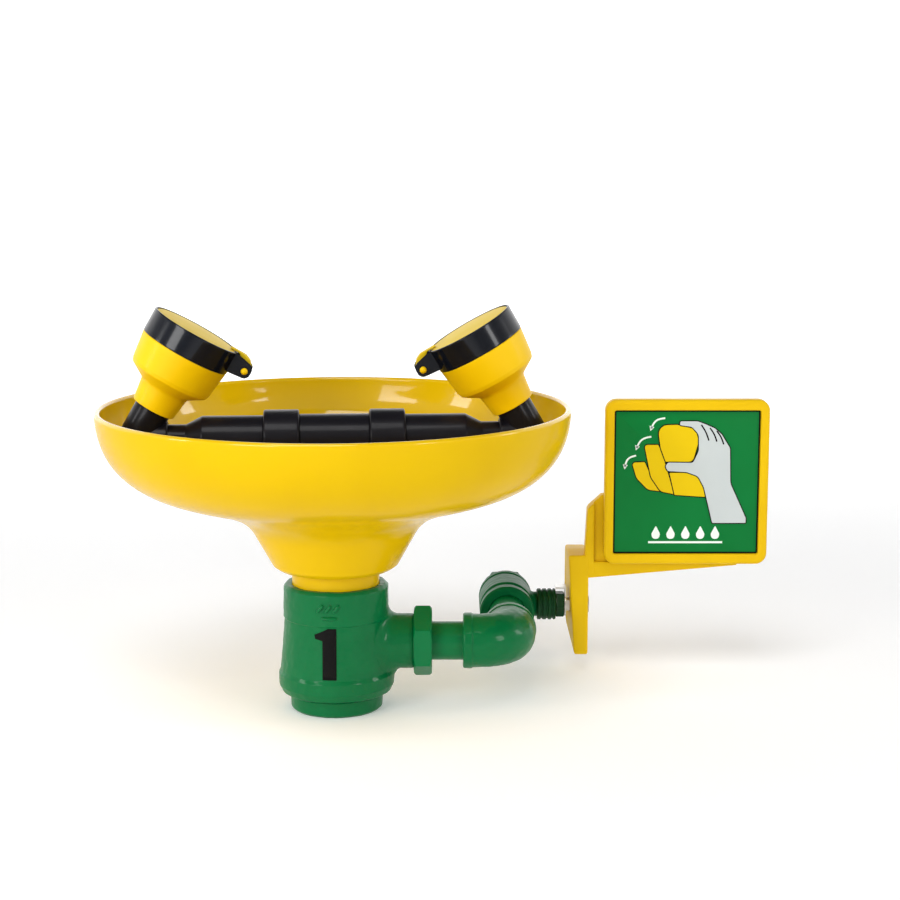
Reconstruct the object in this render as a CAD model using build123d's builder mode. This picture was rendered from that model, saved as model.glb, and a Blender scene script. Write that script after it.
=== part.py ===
from build123d import *
import os
from math import cos, radians, sin

os.makedirs("parts", exist_ok=True)

# Eye and face wash unit: receptor bowl on a waste tee, twin spray heads with flip lids on a
# manifold, and a quarter-turn ball valve worked by a push flag. Millimetres, +Z up, +Y to the
# wall, origin at the centre of the drain outlet's mouth.

# Clearances
thread_gap = 0.1  # between two screwed or plugged pieces that don't turn
running_gap = 0.05  # round a shaft or pin that turns
seat_gap = 0.3  # between a moving face and the fixed face beside it
cover_gap = 0.2  # round the sign in its pocket

# Half-inch supply pipe
pipe_radius = 10.65
pipe_bore = 7.85
pipe_grip = 14.0  # how deep a pipe end sits in its socket
supply_thread = 10.48  # nominal radius of the G 1/2 inlet
water_bore = 7.0

# Bowl
rim_radius = 129.0
rim_height = 168.9
bowl_wall = 3.4
bowl_shoulder = (122.3, 143.1)  # radius, height
bowl_turn = (107.5, 128.6)
bowl_floor = (67.9, 114.7)
bowl_throat = (46.0, 103.7)
bowl_waist = (42.8, 98.6)
bowl_foot = (34.6, 81.6)
base_height = 79.5
floor_thickness = 3.6
spigot_radius = 24.1
spigot_bore = 20.0
spigot_grip = 14.8

# Waste tee
tee_top = 70.8
tee_bottom = 9.7
tee_radius = 28.5
tee_step_height = 52.5
tee_waist = (29.0, 44.0)
tee_flare = (30.6, 26.0)
tee_band_radius = 32.0
tee_band = (14.5, 22.0)  # lower and upper height of the band
chamber_radius = 22.6
post_radius = 14.0
post_top = 57.5
branch_height = 37.4
branch_radius = 15.2
branch_end = 43.0

# Drain bush
bush_radius = 25.7
bush_shank = 24.0
bush_top = 21.8
drain_radius = 20.95  # nominal radius of the G 1 1/4 outlet

# Supply line
nut_across_flats = 34.6
nut_width = 10.0
elbow_x = 96.5
elbow_radius = 14.85
elbow_bead = 0.5
elbow_leg = 26.3
elbow_bend = 17.0

# Ball valve, on the elbow's back leg
valve_front = 60.0
stem_y = valve_front + 24.0
valve_rear = stem_y + 20.0
valve_inlet = valve_rear + 6.0
valve_radius = 16.0
cavity_radius = 12.2
ball_radius = 11.5
stem_radius = 4.0
boss_start = elbow_x + 18.3
boss_end = boss_start + 11.2
boss_radius = 9.3
gland_radius = 6.3
gland_flats = 14.0
gland_end = boss_end + 5.0

# Lever moulding: side plate on the stem, and the web behind the flag
lever_left = gland_end + 1.5
lever_right = lever_left + 11.7
lever_front = stem_y - 20.5
lever_back = lever_front + 40.0
lever_bottom = branch_height - 26.0
lever_top = branch_height + 34.0
web_depth = 11.0
web_skin = 3.2

# Flag
flag_front = lever_front - 8.5
flag_left = lever_right + 8.1
flag_bottom = branch_height + 30.6
flag_width = 94.5
flag_height = 96.4
flag_corner = 6.5
border_side = 5.25
border_end = 6.1
sign_recess = 2.2
sign_thickness = 1.0
screw_radius = 2.0
screw_head = 3.8

# Manifold, turned a little about the bowl's axis
manifold_turn = 4.0
manifold_height = 151.5
tee_arm_radius = 13.0
tee_arm_reach = 19.0
coupling_radius = 15.5
coupling_end = 38.4
plug_radius = 10.0
arm_radius = 12.5
arm_taper = (71.5, 80.3)
arm_spigot = 8.0
arm_reach = 101.0
manifold_bore = 6.0

# Spray heads: heights are measured up each head's own axis, from the corner of its elbow
corner_reach = 107.5
head_tilt = 30.0
black_radius = 10.0
elbow_socket = 90.0
neck_height = 19.7
neck_radius = (12.0, 13.7)  # at its foot, under the cup
plug_height = 30.0
neck_bore = 8.0
cone_foot = 32.7
cup_shoulder = 38.6
ring_radius = 25.1
ring_foot = 55.2
head_top = 68.7
cup_radius = (ring_radius - 2.2, ring_radius - 0.2)  # at the shoulder, under the ring
collar_radius = ring_radius - 2.5
collar_top = 62.0
cup_bore = collar_radius - 2.4
disc_thickness = 2.5
lid_radius = ring_radius - 1.6
lid_thickness = 1.7
lid_recess = 0.9
rim_gap = 0.6
hinge_reach = ring_radius + 7.6
hinge_height = 62.2
pin_radius = 1.3
knuckle_radius = 3.0
knuckle_width = 6.0
ear_width = 3.0

# ---- Bowl: a dish with a concave throat, a funnel and a spigot, one even wall
def inner_points(curve, wall, steps):
    """Points of the curve moved square to it by the wall, towards the bowl's inside."""
    points = []
    for step in range(steps + 1):
        along = curve.tangent_at(step / steps)
        points.append(curve.position_at(step / steps) + Vector(along.Y, -along.X) * wall)
    return points


with BuildPart() as bowl:
    with BuildSketch(Plane.XZ) as bowl_section:
        with BuildLine() as bowl_skin:
            dish = Spline(
                (rim_radius, rim_height),
                bowl_shoulder,
                bowl_turn,
                bowl_floor,
                tangents=[(-0.02, -1), (-0.94, -0.35)],
            )
            throat = Spline(bowl_floor, bowl_throat, bowl_waist, tangents=[(-0.94, -0.35), (-0.44, -0.9)])
            dish_inside = Spline(*inner_points(dish, bowl_wall, 6))
            throat_inside = Spline(*inner_points(throat, bowl_wall, 4))
            Line(dish @ 0, dish_inside @ 0)
            Line(throat @ 1, bowl_foot)
            Line(bowl_foot, (bowl_foot[0] - 3, base_height))
            Line((bowl_foot[0] - 3, base_height), (spigot_radius, base_height))
            Line((spigot_radius, base_height), (spigot_radius, tee_top - spigot_grip))
            Line((spigot_radius, tee_top - spigot_grip), (spigot_bore, tee_top - spigot_grip))
            Line((spigot_bore, tee_top - spigot_grip), (spigot_bore, base_height + floor_thickness))
            floor_edge = (bowl_foot[0] - bowl_wall, base_height + floor_thickness)
            Line((spigot_bore, base_height + floor_thickness), floor_edge)
            Line(floor_edge, throat_inside @ 1)
        make_face()
    revolve(axis=Axis.Z)
    fillet(bowl.edges().group_by(Axis.Z)[-1], radius=bowl_wall * 0.45)
bowl.part.label = "bowl"
export_step(bowl.part, "parts/bowl.step")

# ---- Drain strainer: perforated plate on the bowl's floor, round the riser
strainer_radius = bowl_foot[0] - bowl_wall - 0.8
strainer_bottom = base_height + floor_thickness
hole_pitch = 4.1
with BuildPart() as drain_strainer:
    with BuildSketch(Plane.XY.offset(strainer_bottom)):
        Circle(strainer_radius)
        Circle(pipe_radius + 4 * thread_gap, mode=Mode.SUBTRACT)
        for hole_row, hole_count in ((1, 12), (2, 16), (3, 20)):
            with PolarLocations(pipe_radius - 0.25 + hole_row * hole_pitch, hole_count):
                Circle(1.6, mode=Mode.SUBTRACT)
    extrude(amount=1.2)
drain_strainer.part.label = "drain_strainer"
export_step(drain_strainer.part, "parts/drain_strainer.step")

# ---- Waste tee: cast body, waste falls through the ring round a central supply post
branch_plane = Plane(origin=(0, 0, branch_height), x_dir=(0, 1, 0), z_dir=(1, 0, 0))
with BuildPart() as waste_tee:
    with BuildSketch(Plane.XZ):
        with BuildLine():
            Polyline(
                (0, tee_bottom),
                (tee_band_radius - 3.5, tee_bottom),
                (tee_band_radius - 1.8, tee_bottom + 0.9),
                (tee_band_radius, tee_band[0]),
                (tee_band_radius, tee_band[1] - 1.5),
                (tee_band_radius - 1.0, tee_band[1] + 0.5),
                tee_flare,
                tee_waist,
                (tee_radius, tee_step_height - 0.6),
                (tee_radius + 0.5, tee_step_height),
                (tee_radius + 0.3, tee_top - 1.6),
                (tee_radius - 1.2, tee_top),
                (0, tee_top),
                close=True,
            )
        make_face()
    revolve(axis=Axis.Z)
    with BuildSketch(branch_plane):
        Circle(branch_radius)
    extrude(amount=branch_end)
    with BuildSketch(Plane.XY.offset(tee_bottom)):
        Circle(chamber_radius)
    extrude(amount=tee_top - tee_bottom, mode=Mode.SUBTRACT)
    with BuildSketch(Plane.XY.offset(tee_bottom)):
        Circle(bush_shank + thread_gap)
    extrude(amount=bush_top - tee_bottom + 0.4, mode=Mode.SUBTRACT)
    with BuildSketch(Plane.XY.offset(tee_top)):
        Circle(spigot_radius + thread_gap)
    extrude(amount=-(spigot_grip + seat_gap), mode=Mode.SUBTRACT)
    with BuildSketch(Plane.XY.offset(branch_height - post_radius)):
        Circle(post_radius)
    extrude(amount=post_top - branch_height + post_radius)
    with BuildSketch(branch_plane):
        Circle(post_radius - 0.8)
    extrude(amount=chamber_radius + 2)
    with BuildSketch(branch_plane):
        Circle(water_bore)
    extrude(amount=branch_end, mode=Mode.SUBTRACT)
    with BuildSketch(branch_plane.offset(branch_end - pipe_grip)):
        Circle(pipe_radius + thread_gap)
    extrude(amount=pipe_grip, mode=Mode.SUBTRACT)
    with BuildSketch(Plane.XY.offset(branch_height)):
        Circle(water_bore)
    extrude(amount=post_top - branch_height, mode=Mode.SUBTRACT)
    with BuildSketch(Plane.XY.offset(post_top - pipe_grip)):
        Circle(pipe_radius + thread_gap)
    extrude(amount=pipe_grip, mode=Mode.SUBTRACT)
waste_tee.part.label = "waste_tee"
export_step(waste_tee.part, "parts/waste_tee.step")

# ---- Drain bush: screwed up into the tee, female drain thread below
with BuildPart() as drain_bush:
    with BuildSketch(Plane.XZ):
        with BuildLine():
            Polyline(
                (drain_radius, 0),
                (bush_radius - 1.6, 0),
                (bush_radius - 0.4, 1.2),
                (bush_radius, tee_bottom - 1.2),
                (bush_radius - 1.0, tee_bottom),
                (bush_shank, tee_bottom),
                (bush_shank, bush_top),
                (drain_radius, bush_top),
                close=True,
            )
        make_face()
    revolve(axis=Axis.Z)
drain_bush.part.label = "drain_bush"
export_step(drain_bush.part, "parts/drain_bush.step")

# ---- Riser pipe: from the tee's post up to the manifold's foot
riser_bottom = post_top - pipe_grip + 0.3
riser_top = manifold_height - tee_arm_radius + 2
with BuildPart() as riser_pipe:
    with BuildSketch(Plane.XY.offset(riser_bottom)):
        Circle(pipe_radius)
        Circle(pipe_bore, mode=Mode.SUBTRACT)
    extrude(amount=riser_top - riser_bottom)
riser_pipe.part.label = "riser_pipe"
export_step(riser_pipe.part, "parts/riser_pipe.step")

# ---- Inlet nipple and its lock nut
elbow_face = elbow_x - elbow_leg
nipple_start = branch_end - pipe_grip + 0.3
nipple_end = elbow_face + pipe_grip - 0.3
with BuildPart() as inlet_nipple:
    with BuildSketch(branch_plane.offset(nipple_start)):
        Circle(pipe_radius)
        Circle(pipe_bore, mode=Mode.SUBTRACT)
    extrude(amount=nipple_end - nipple_start)
inlet_nipple.part.label = "inlet_nipple"
export_step(inlet_nipple.part, "parts/inlet_nipple.step")

with BuildPart() as lock_nut:
    with BuildSketch(branch_plane.offset(branch_end)):
        RegularPolygon(nut_across_flats / 2, 6, major_radius=False, rotation=30)
    extrude(amount=nut_width)
    chamfer(lock_nut.edges().filter_by(GeomType.LINE).filter_by(Axis.X, reverse=True), length=0.8)
    with BuildSketch(branch_plane.offset(branch_end)):
        Circle(pipe_radius + thread_gap)
    extrude(amount=nut_width, mode=Mode.SUBTRACT)
lock_nut.part.label = "lock_nut"
export_step(lock_nut.part, "parts/lock_nut.step")

# ---- Supply elbow: turns from +X to +Y, with a bead round each socket
elbow_level = Plane.XY.offset(branch_height)
back_plane = Plane(origin=(elbow_x, 0, branch_height), x_dir=(-1, 0, 0), z_dir=(0, 1, 0))
bead_width = 4.5
with BuildPart() as supply_elbow:
    with BuildLine(elbow_level) as elbow_path:
        FilletPolyline((elbow_face, 0), (elbow_x, 0), (elbow_x, elbow_leg), radius=elbow_bend)
    with BuildSketch(branch_plane.offset(elbow_face)):
        Circle(elbow_radius)
    sweep(path=elbow_path.line)
    with BuildSketch(branch_plane.offset(elbow_face)):
        Circle(elbow_radius + elbow_bead)
    extrude(amount=bead_width)
    with BuildSketch(back_plane.offset(elbow_leg - bead_width)):
        Circle(elbow_radius + elbow_bead)
    extrude(amount=bead_width)
    with BuildSketch(branch_plane.offset(elbow_face)):
        Circle(water_bore)
    sweep(path=elbow_path.line, mode=Mode.SUBTRACT)
    with BuildSketch(branch_plane.offset(elbow_face)):
        Circle(pipe_radius + thread_gap)
    extrude(amount=pipe_grip, mode=Mode.SUBTRACT)
    with BuildSketch(back_plane.offset(elbow_leg - pipe_grip)):
        Circle(pipe_radius + thread_gap)
    extrude(amount=pipe_grip, mode=Mode.SUBTRACT)
supply_elbow.part.label = "supply_elbow"
export_step(supply_elbow.part, "parts/supply_elbow.step")

# ---- Valve nipple
valve_nipple_start = elbow_leg - pipe_grip + 0.3
front_grip = 10.0
with BuildPart() as valve_nipple:
    with BuildSketch(back_plane.offset(valve_nipple_start)):
        Circle(pipe_radius)
        Circle(pipe_bore, mode=Mode.SUBTRACT)
    extrude(amount=valve_front + front_grip - 0.3 - valve_nipple_start)
valve_nipple.part.label = "valve_nipple"
export_step(valve_nipple.part, "parts/valve_nipple.step")

# ---- Valve body: collars and belly turned about the pipe axis, bonnet boss out to +X
valve_section = Plane(origin=(elbow_x, 0, branch_height), x_dir=(0, 1, 0), z_dir=(1, 0, 0))
valve_axis = Axis((elbow_x, 0, branch_height), (0, 1, 0))
stem_plane = Plane(origin=(0, stem_y, branch_height), x_dir=(0, 1, 0), z_dir=(1, 0, 0))
cavity_front = valve_front + front_grip + 3
seat_length = cavity_radius - 1.2
seat_outer = cavity_radius - thread_gap
cap_start = stem_y + seat_length
packing_start = boss_start + 4.0
packing_end = packing_start + 4.5
shoulder_radius = stem_radius + 1.2
shoulder_end = elbow_x + cavity_radius + 2.2
with BuildPart() as valve_body:
    with BuildSketch(valve_section):
        with BuildLine():
            Polyline(
                (valve_front, 0),
                (valve_front, valve_radius - 0.8),
                (valve_front + 0.8, valve_radius),
                (valve_front + 7, valve_radius),
                (valve_front + 8, valve_radius - 1.4),
                (valve_front + 11, valve_radius - 1.4),
                (valve_front + 13, valve_radius),
                (valve_rear - 9, valve_radius),
                (valve_rear - 8, valve_radius - 0.8),
                (valve_rear - 6, valve_radius - 0.8),
                (valve_rear - 5, valve_radius),
                (valve_rear - 0.8, valve_radius),
                (valve_rear, valve_radius - 0.8),
                (valve_rear, 0),
                close=True,
            )
        make_face()
    revolve(axis=valve_axis)
    with BuildSketch(stem_plane.offset(elbow_x)):
        Circle(boss_radius - 2)
    extrude(amount=boss_start - elbow_x)
    with BuildSketch(stem_plane.offset(boss_start)):
        Circle(boss_radius)
    extrude(amount=boss_end - boss_start)
    for groove_start in (boss_start + 2.4, boss_start + 5.6, boss_start + 8.6):
        with BuildSketch(stem_plane.offset(groove_start)):
            Circle(boss_radius + 1)
            Circle(boss_radius - 0.7, mode=Mode.SUBTRACT)
        extrude(amount=0.9, mode=Mode.SUBTRACT)
    with BuildSketch(back_plane.offset(valve_front)):
        Circle(pipe_radius + thread_gap)
    extrude(amount=front_grip, mode=Mode.SUBTRACT)
    with BuildSketch(back_plane.offset(valve_front)):
        Circle(water_bore)
    extrude(amount=cavity_front - valve_front, mode=Mode.SUBTRACT)
    with BuildSketch(back_plane.offset(cavity_front)):
        Circle(cavity_radius)
    extrude(amount=valve_rear - cavity_front, mode=Mode.SUBTRACT)
    with BuildSketch(stem_plane.offset(elbow_x)):
        Circle(shoulder_radius + running_gap)
    extrude(amount=shoulder_end + seat_gap - elbow_x, mode=Mode.SUBTRACT)
    with BuildSketch(stem_plane.offset(elbow_x)):
        Circle(stem_radius + running_gap)
    extrude(amount=boss_end - elbow_x, mode=Mode.SUBTRACT)
    with BuildSketch(stem_plane.offset(packing_start)):
        Circle(gland_radius)
    extrude(amount=boss_end - packing_start, mode=Mode.SUBTRACT)
valve_body.part.label = "valve_body"
export_step(valve_body.part, "parts/valve_body.step")

# ---- Valve end cap: screwed in behind the ball, with the supply thread in its rear face
supply_grip = 13.0
with BuildPart() as valve_end_cap:
    with BuildSketch(back_plane.offset(cap_start)):
        Circle(cavity_radius - thread_gap)
    extrude(amount=valve_rear - cap_start)
    with BuildSketch(back_plane.offset(valve_rear)):
        RegularPolygon(valve_radius - 2.2, 6, major_radius=False)
    extrude(amount=valve_inlet - valve_rear)
    with BuildSketch(back_plane.offset(cap_start)):
        Circle(water_bore)
    extrude(amount=valve_inlet - cap_start, mode=Mode.SUBTRACT)
    with BuildSketch(back_plane.offset(valve_inlet - supply_grip)):
        Circle(supply_thread)
    extrude(amount=supply_grip, mode=Mode.SUBTRACT)
valve_end_cap.part.label = "valve_end_cap"
export_step(valve_end_cap.part, "parts/valve_end_cap.step")

# ---- Valve ball: closed at rest, so its bore stands upright; slot for the stem's tang
tang_width = 3.0
tang_start = elbow_x + 7.4
slot_end = elbow_x + ball_radius
with BuildPart() as valve_ball:
    with Locations((elbow_x, stem_y, branch_height)):
        Sphere(ball_radius)
        Cylinder(water_bore, 4 * ball_radius, mode=Mode.SUBTRACT)
    with BuildSketch(stem_plane.offset(tang_start - 0.3)):
        Rectangle(tang_width + 2 * thread_gap, 4 * ball_radius)
    extrude(amount=slot_end - tang_start + 1, mode=Mode.SUBTRACT)
valve_ball.part.label = "valve_ball"
export_step(valve_ball.part, "parts/valve_ball.step")

# ---- Ball seats: two rings hollowed to the ball
with BuildPart() as ball_seats:
    for seat_start in (stem_y - seat_length, stem_y + 5.4):
        with BuildSketch(back_plane.offset(seat_start)):
            Circle(seat_outer)
            Circle(water_bore, mode=Mode.SUBTRACT)
        extrude(amount=seat_length - 5.4)
    with Locations((elbow_x, stem_y, branch_height)):
        Sphere(ball_radius + seat_gap, mode=Mode.SUBTRACT)
ball_seats.part.label = "ball_seats"
export_step(ball_seats.part, "parts/ball_seats.step")

# ---- Valve stem: tang in the ball, shoulder under the bonnet, flats for the lever
flat_reach = stem_radius - 1.2
screw_core = 1.6
lever_screw_length = 9.0
with BuildPart() as valve_stem:
    with BuildSketch(stem_plane.offset(tang_start)):
        Rectangle(tang_width, 2 * stem_radius - 0.8)
    extrude(amount=elbow_x + ball_radius + 0.6 - tang_start)
    with BuildSketch(stem_plane.offset(elbow_x + ball_radius + 0.5)):
        Circle(shoulder_radius)
    extrude(amount=shoulder_end - elbow_x - ball_radius - 0.5)
    with BuildSketch(stem_plane.offset(elbow_x + ball_radius + 0.5)):
        Circle(stem_radius)
    extrude(amount=lever_right - 1.2 - elbow_x - ball_radius - 0.5)
    with BuildSketch(stem_plane.offset(gland_end + seat_gap)):
        Rectangle(4 * stem_radius, 4 * stem_radius)
        Rectangle(2 * flat_reach, 4 * stem_radius, mode=Mode.SUBTRACT)
    extrude(amount=lever_right - gland_end, mode=Mode.SUBTRACT)
    with BuildSketch(stem_plane.offset(lever_right - 1.2 - lever_screw_length)):
        Circle(screw_core + thread_gap / 2)
    extrude(amount=lever_screw_length, mode=Mode.SUBTRACT)
valve_stem.part.label = "valve_stem"
export_step(valve_stem.part, "parts/valve_stem.step")

# ---- Stem packing and gland nut
with BuildPart() as stem_packing:
    with BuildSketch(stem_plane.offset(packing_start)):
        Circle(gland_radius - thread_gap)
        Circle(stem_radius + running_gap, mode=Mode.SUBTRACT)
    extrude(amount=packing_end - packing_start)
stem_packing.part.label = "stem_packing"
export_step(stem_packing.part, "parts/stem_packing.step")

with BuildPart() as gland_nut:
    with BuildSketch(stem_plane.offset(packing_end)):
        Circle(gland_radius - thread_gap)
    extrude(amount=boss_end - packing_end)
    with BuildSketch(stem_plane.offset(boss_end)):
        RegularPolygon(gland_flats / 2, 6, major_radius=False)
    extrude(amount=gland_end - boss_end)
    with BuildSketch(stem_plane.offset(packing_end)):
        Circle(stem_radius + running_gap)
    extrude(amount=gland_end - packing_end, mode=Mode.SUBTRACT)
gland_nut.part.label = "gland_nut"
export_step(gland_nut.part, "parts/gland_nut.step")

# ---- Stop plate: thin plate on the stem's flats, against the lever, tab bent over the nut
stop_thickness = 1.2 - seat_gap
stop_tab_height = gland_flats / 2 + 3.0
stop_tab_depth = 6.4
with BuildPart() as stop_plate:
    with BuildSketch(stem_plane.offset(gland_end + seat_gap)):
        Circle(gland_flats / 2)
        with Locations((0, stop_tab_height / 2)):
            Rectangle(9, stop_tab_height)
        Circle(stem_radius + thread_gap, mode=Mode.SUBTRACT)
    extrude(amount=stop_thickness)
    with BuildSketch(stem_plane.offset(gland_end + seat_gap + stop_thickness - stop_tab_depth)):
        with Locations((0, stop_tab_height + 0.6)):
            Rectangle(9, 1.2)
    extrude(amount=stop_tab_depth)
stop_plate.part.label = "stop_plate"
export_step(stop_plate.part, "parts/stop_plate.step")

# ---- Lever: side plate on the stem, and a hollow-backed web behind the flag
front_plane = Plane.XZ.offset(-lever_front)
web_corners = [  # right of the lever's right face, above the pipe's axis
    (-1.2, 19.8),
    (88.5, 28.4),
    (94.3, 31.2),
    (94.3, 38.6),
    (36.8, 69.5),
    (7.3, 69.5),
    (2.7, 65.2),
    (-2.0, 61.8),
    (-4.1, 45.7),
    (-5.0, 32.0),
]
boss_corners = [(17.3, 59.6), (17.3, 38.1), (46.8, 46.6), (80.8, 36.6)]
web_outline = [(lever_right + across, branch_height + above) for across, above in web_corners]
boss_places = [(lever_right + across, branch_height + above) for across, above in boss_corners]
with BuildPart() as lever:
    with BuildSketch(Plane.YZ.offset(lever_left)):
        with BuildLine():
            plate_mid = (lever_front + lever_back) / 2
            Polyline(
                (lever_front, lever_bottom + 1.5),
                (lever_front + 1.5, lever_bottom),
                (lever_back - 18, lever_bottom),
                (lever_back - 5, lever_bottom + 7),
                (lever_back, lever_bottom + 20),
                (lever_back, lever_top - 5),
                (lever_back - 3, lever_top - 1.2),
                (plate_mid, lever_top),
                (lever_front, lever_top),
                close=True,
            )
        make_face()
    extrude(amount=lever_right - lever_left)
    with BuildSketch(Plane.XZ.offset(-lever_front + 1)):
        with BuildLine():
            Polyline(
                (lever_left - 5, branch_height + 0.6),
                (lever_left, branch_height + 0.6),
                (lever_left + 4.0, lever_bottom),
                (lever_left + 4.0, lever_bottom - 5),
                (lever_left - 5, lever_bottom - 5),
                close=True,
            )
        make_face()
    extrude(amount=-(lever_back - lever_front + 2), mode=Mode.SUBTRACT)
    with BuildSketch(front_plane):
        Polygon(*web_outline, align=None)
    extrude(amount=-web_depth)
    with BuildSketch(Plane.XZ.offset(-lever_front - web_skin)):
        Polygon(*web_outline, align=None)
        offset(amount=-2.6, mode=Mode.REPLACE)
        with Locations(*boss_places):
            Circle(5.2, mode=Mode.SUBTRACT)
        with Locations((lever_right - 5, branch_height + 42.6)):
            Rectangle(10.5, 60, mode=Mode.SUBTRACT)
    extrude(amount=-web_depth, mode=Mode.SUBTRACT)
    with BuildSketch(front_plane):
        with Locations(*boss_places):
            Circle(screw_radius + thread_gap)
    extrude(amount=-web_depth, mode=Mode.SUBTRACT)
    with BuildSketch(stem_plane.offset(lever_left)):
        Circle(stem_radius + thread_gap)
        Rectangle(2 * flat_reach + 2 * thread_gap, 4 * stem_radius, mode=Mode.INTERSECT)
    extrude(amount=lever_right - lever_left, mode=Mode.SUBTRACT)
lever.part.label = "lever"
export_step(lever.part, "parts/lever.step")

# ---- Lever screw: low round head on the lever's right side
with BuildPart() as lever_screw:
    with BuildSketch(stem_plane.offset(lever_right - 1.2 - lever_screw_length + 0.4)):
        Circle(screw_core)
    extrude(amount=lever_screw_length + 1.2 - 0.4)
    with BuildSketch(stem_plane.offset(lever_right)):
        Circle(5.0)
    extrude(amount=1.6)
    with BuildSketch(stem_plane.offset(lever_right + 0.8)):
        RegularPolygon(1.8, 6)
    extrude(amount=1, mode=Mode.SUBTRACT)
lever_screw.part.label = "lever_screw"
export_step(lever_screw.part, "parts/lever_screw.step")

# ---- Flag frame: rounded square with a raised border round the sign's pocket
flag_centre = (flag_left + flag_width / 2, flag_bottom + flag_height / 2)
flag_back = lever_front
sign_width = flag_width - 2 * border_side
sign_height = flag_height - 2 * border_end
with BuildPart() as flag_frame:
    with BuildSketch(Plane.XZ.offset(-flag_front)):
        with Locations(flag_centre):
            RectangleRounded(flag_width, flag_height, flag_corner)
    extrude(amount=-(flag_back - flag_front))
    fillet(flag_frame.edges().group_by(Axis.Y)[0], radius=1.6)
    with BuildSketch(Plane.XZ.offset(-flag_front)):
        with Locations(flag_centre):
            Rectangle(sign_width, sign_height)
    extrude(amount=-(sign_recess + sign_thickness), mode=Mode.SUBTRACT)
    with BuildSketch(Plane.XZ.offset(-flag_back)):
        with Locations(*boss_places):
            Circle(screw_radius + thread_gap / 2)
    extrude(amount=4, mode=Mode.SUBTRACT)
flag_frame.part.label = "flag_frame"
export_step(flag_frame.part, "parts/flag_frame.step")

with BuildPart() as flag_sign:
    with BuildSketch(Plane.XZ.offset(-flag_front - sign_recess)):
        with Locations(flag_centre):
            Rectangle(sign_width - 2 * cover_gap, sign_height - 2 * cover_gap)
    extrude(amount=-sign_thickness)
flag_sign.part.label = "flag_sign"
export_step(flag_sign.part, "parts/flag_sign.step")

# ---- Flag screws: from the web's back into the frame
with BuildPart() as flag_screws:
    with BuildSketch(Plane.XZ.offset(-flag_back + 3.6)):
        with Locations(*boss_places):
            Circle(screw_radius)
    extrude(amount=-(web_depth + 3.6))
    with BuildSketch(Plane.XZ.offset(-lever_front - web_depth)):
        with Locations(*boss_places):
            Circle(screw_head)
    extrude(amount=-2.2)
    with BuildSketch(Plane.XZ.offset(-lever_front - web_depth - 1.2)):
        with Locations(*boss_places):
            Rectangle(4.4, 0.9)
            Rectangle(0.9, 4.4)
    extrude(amount=-2, mode=Mode.SUBTRACT)
flag_screws.part.label = "flag_screws"
export_step(flag_screws.part, "parts/flag_screws.step")

# ---- Manifold body: cross tube with a foot on the riser
turn = radians(manifold_turn)
right = Vector(cos(turn), sin(turn), 0)
up = Vector(0, 0, 1)
middle = Vector(0, 0, manifold_height)
foot_grip = riser_top - (manifold_height - tee_arm_radius - 9.5)
manifold_plane = Plane(origin=middle, x_dir=(0, 0, 1), z_dir=right)
with BuildPart() as manifold_tee:
    with BuildSketch(Plane.XY.offset(riser_top - foot_grip)):
        Circle(pipe_radius + 4.2)
    extrude(amount=manifold_height - riser_top + foot_grip)
    with BuildSketch(manifold_plane.offset(-tee_arm_reach)):
        Circle(tee_arm_radius)
    extrude(amount=2 * tee_arm_reach)
    with BuildSketch(manifold_plane.offset(-coupling_end + 10)):
        Circle(plug_radius)
    extrude(amount=2 * (coupling_end - 10))
    with BuildSketch(manifold_plane.offset(-coupling_end)):
        Circle(manifold_bore)
    extrude(amount=2 * coupling_end, mode=Mode.SUBTRACT)
    with BuildSketch(Plane.XY.offset(riser_top - foot_grip)):
        Circle(manifold_bore)
    extrude(amount=manifold_height - riser_top + foot_grip, mode=Mode.SUBTRACT)
    with BuildSketch(Plane.XY.offset(riser_top - foot_grip)):
        Circle(pipe_radius + thread_gap)
    extrude(amount=foot_grip + 0.3, mode=Mode.SUBTRACT)
manifold_tee.part.label = "manifold_tee"
export_step(manifold_tee.part, "parts/manifold_tee.step")

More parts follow.
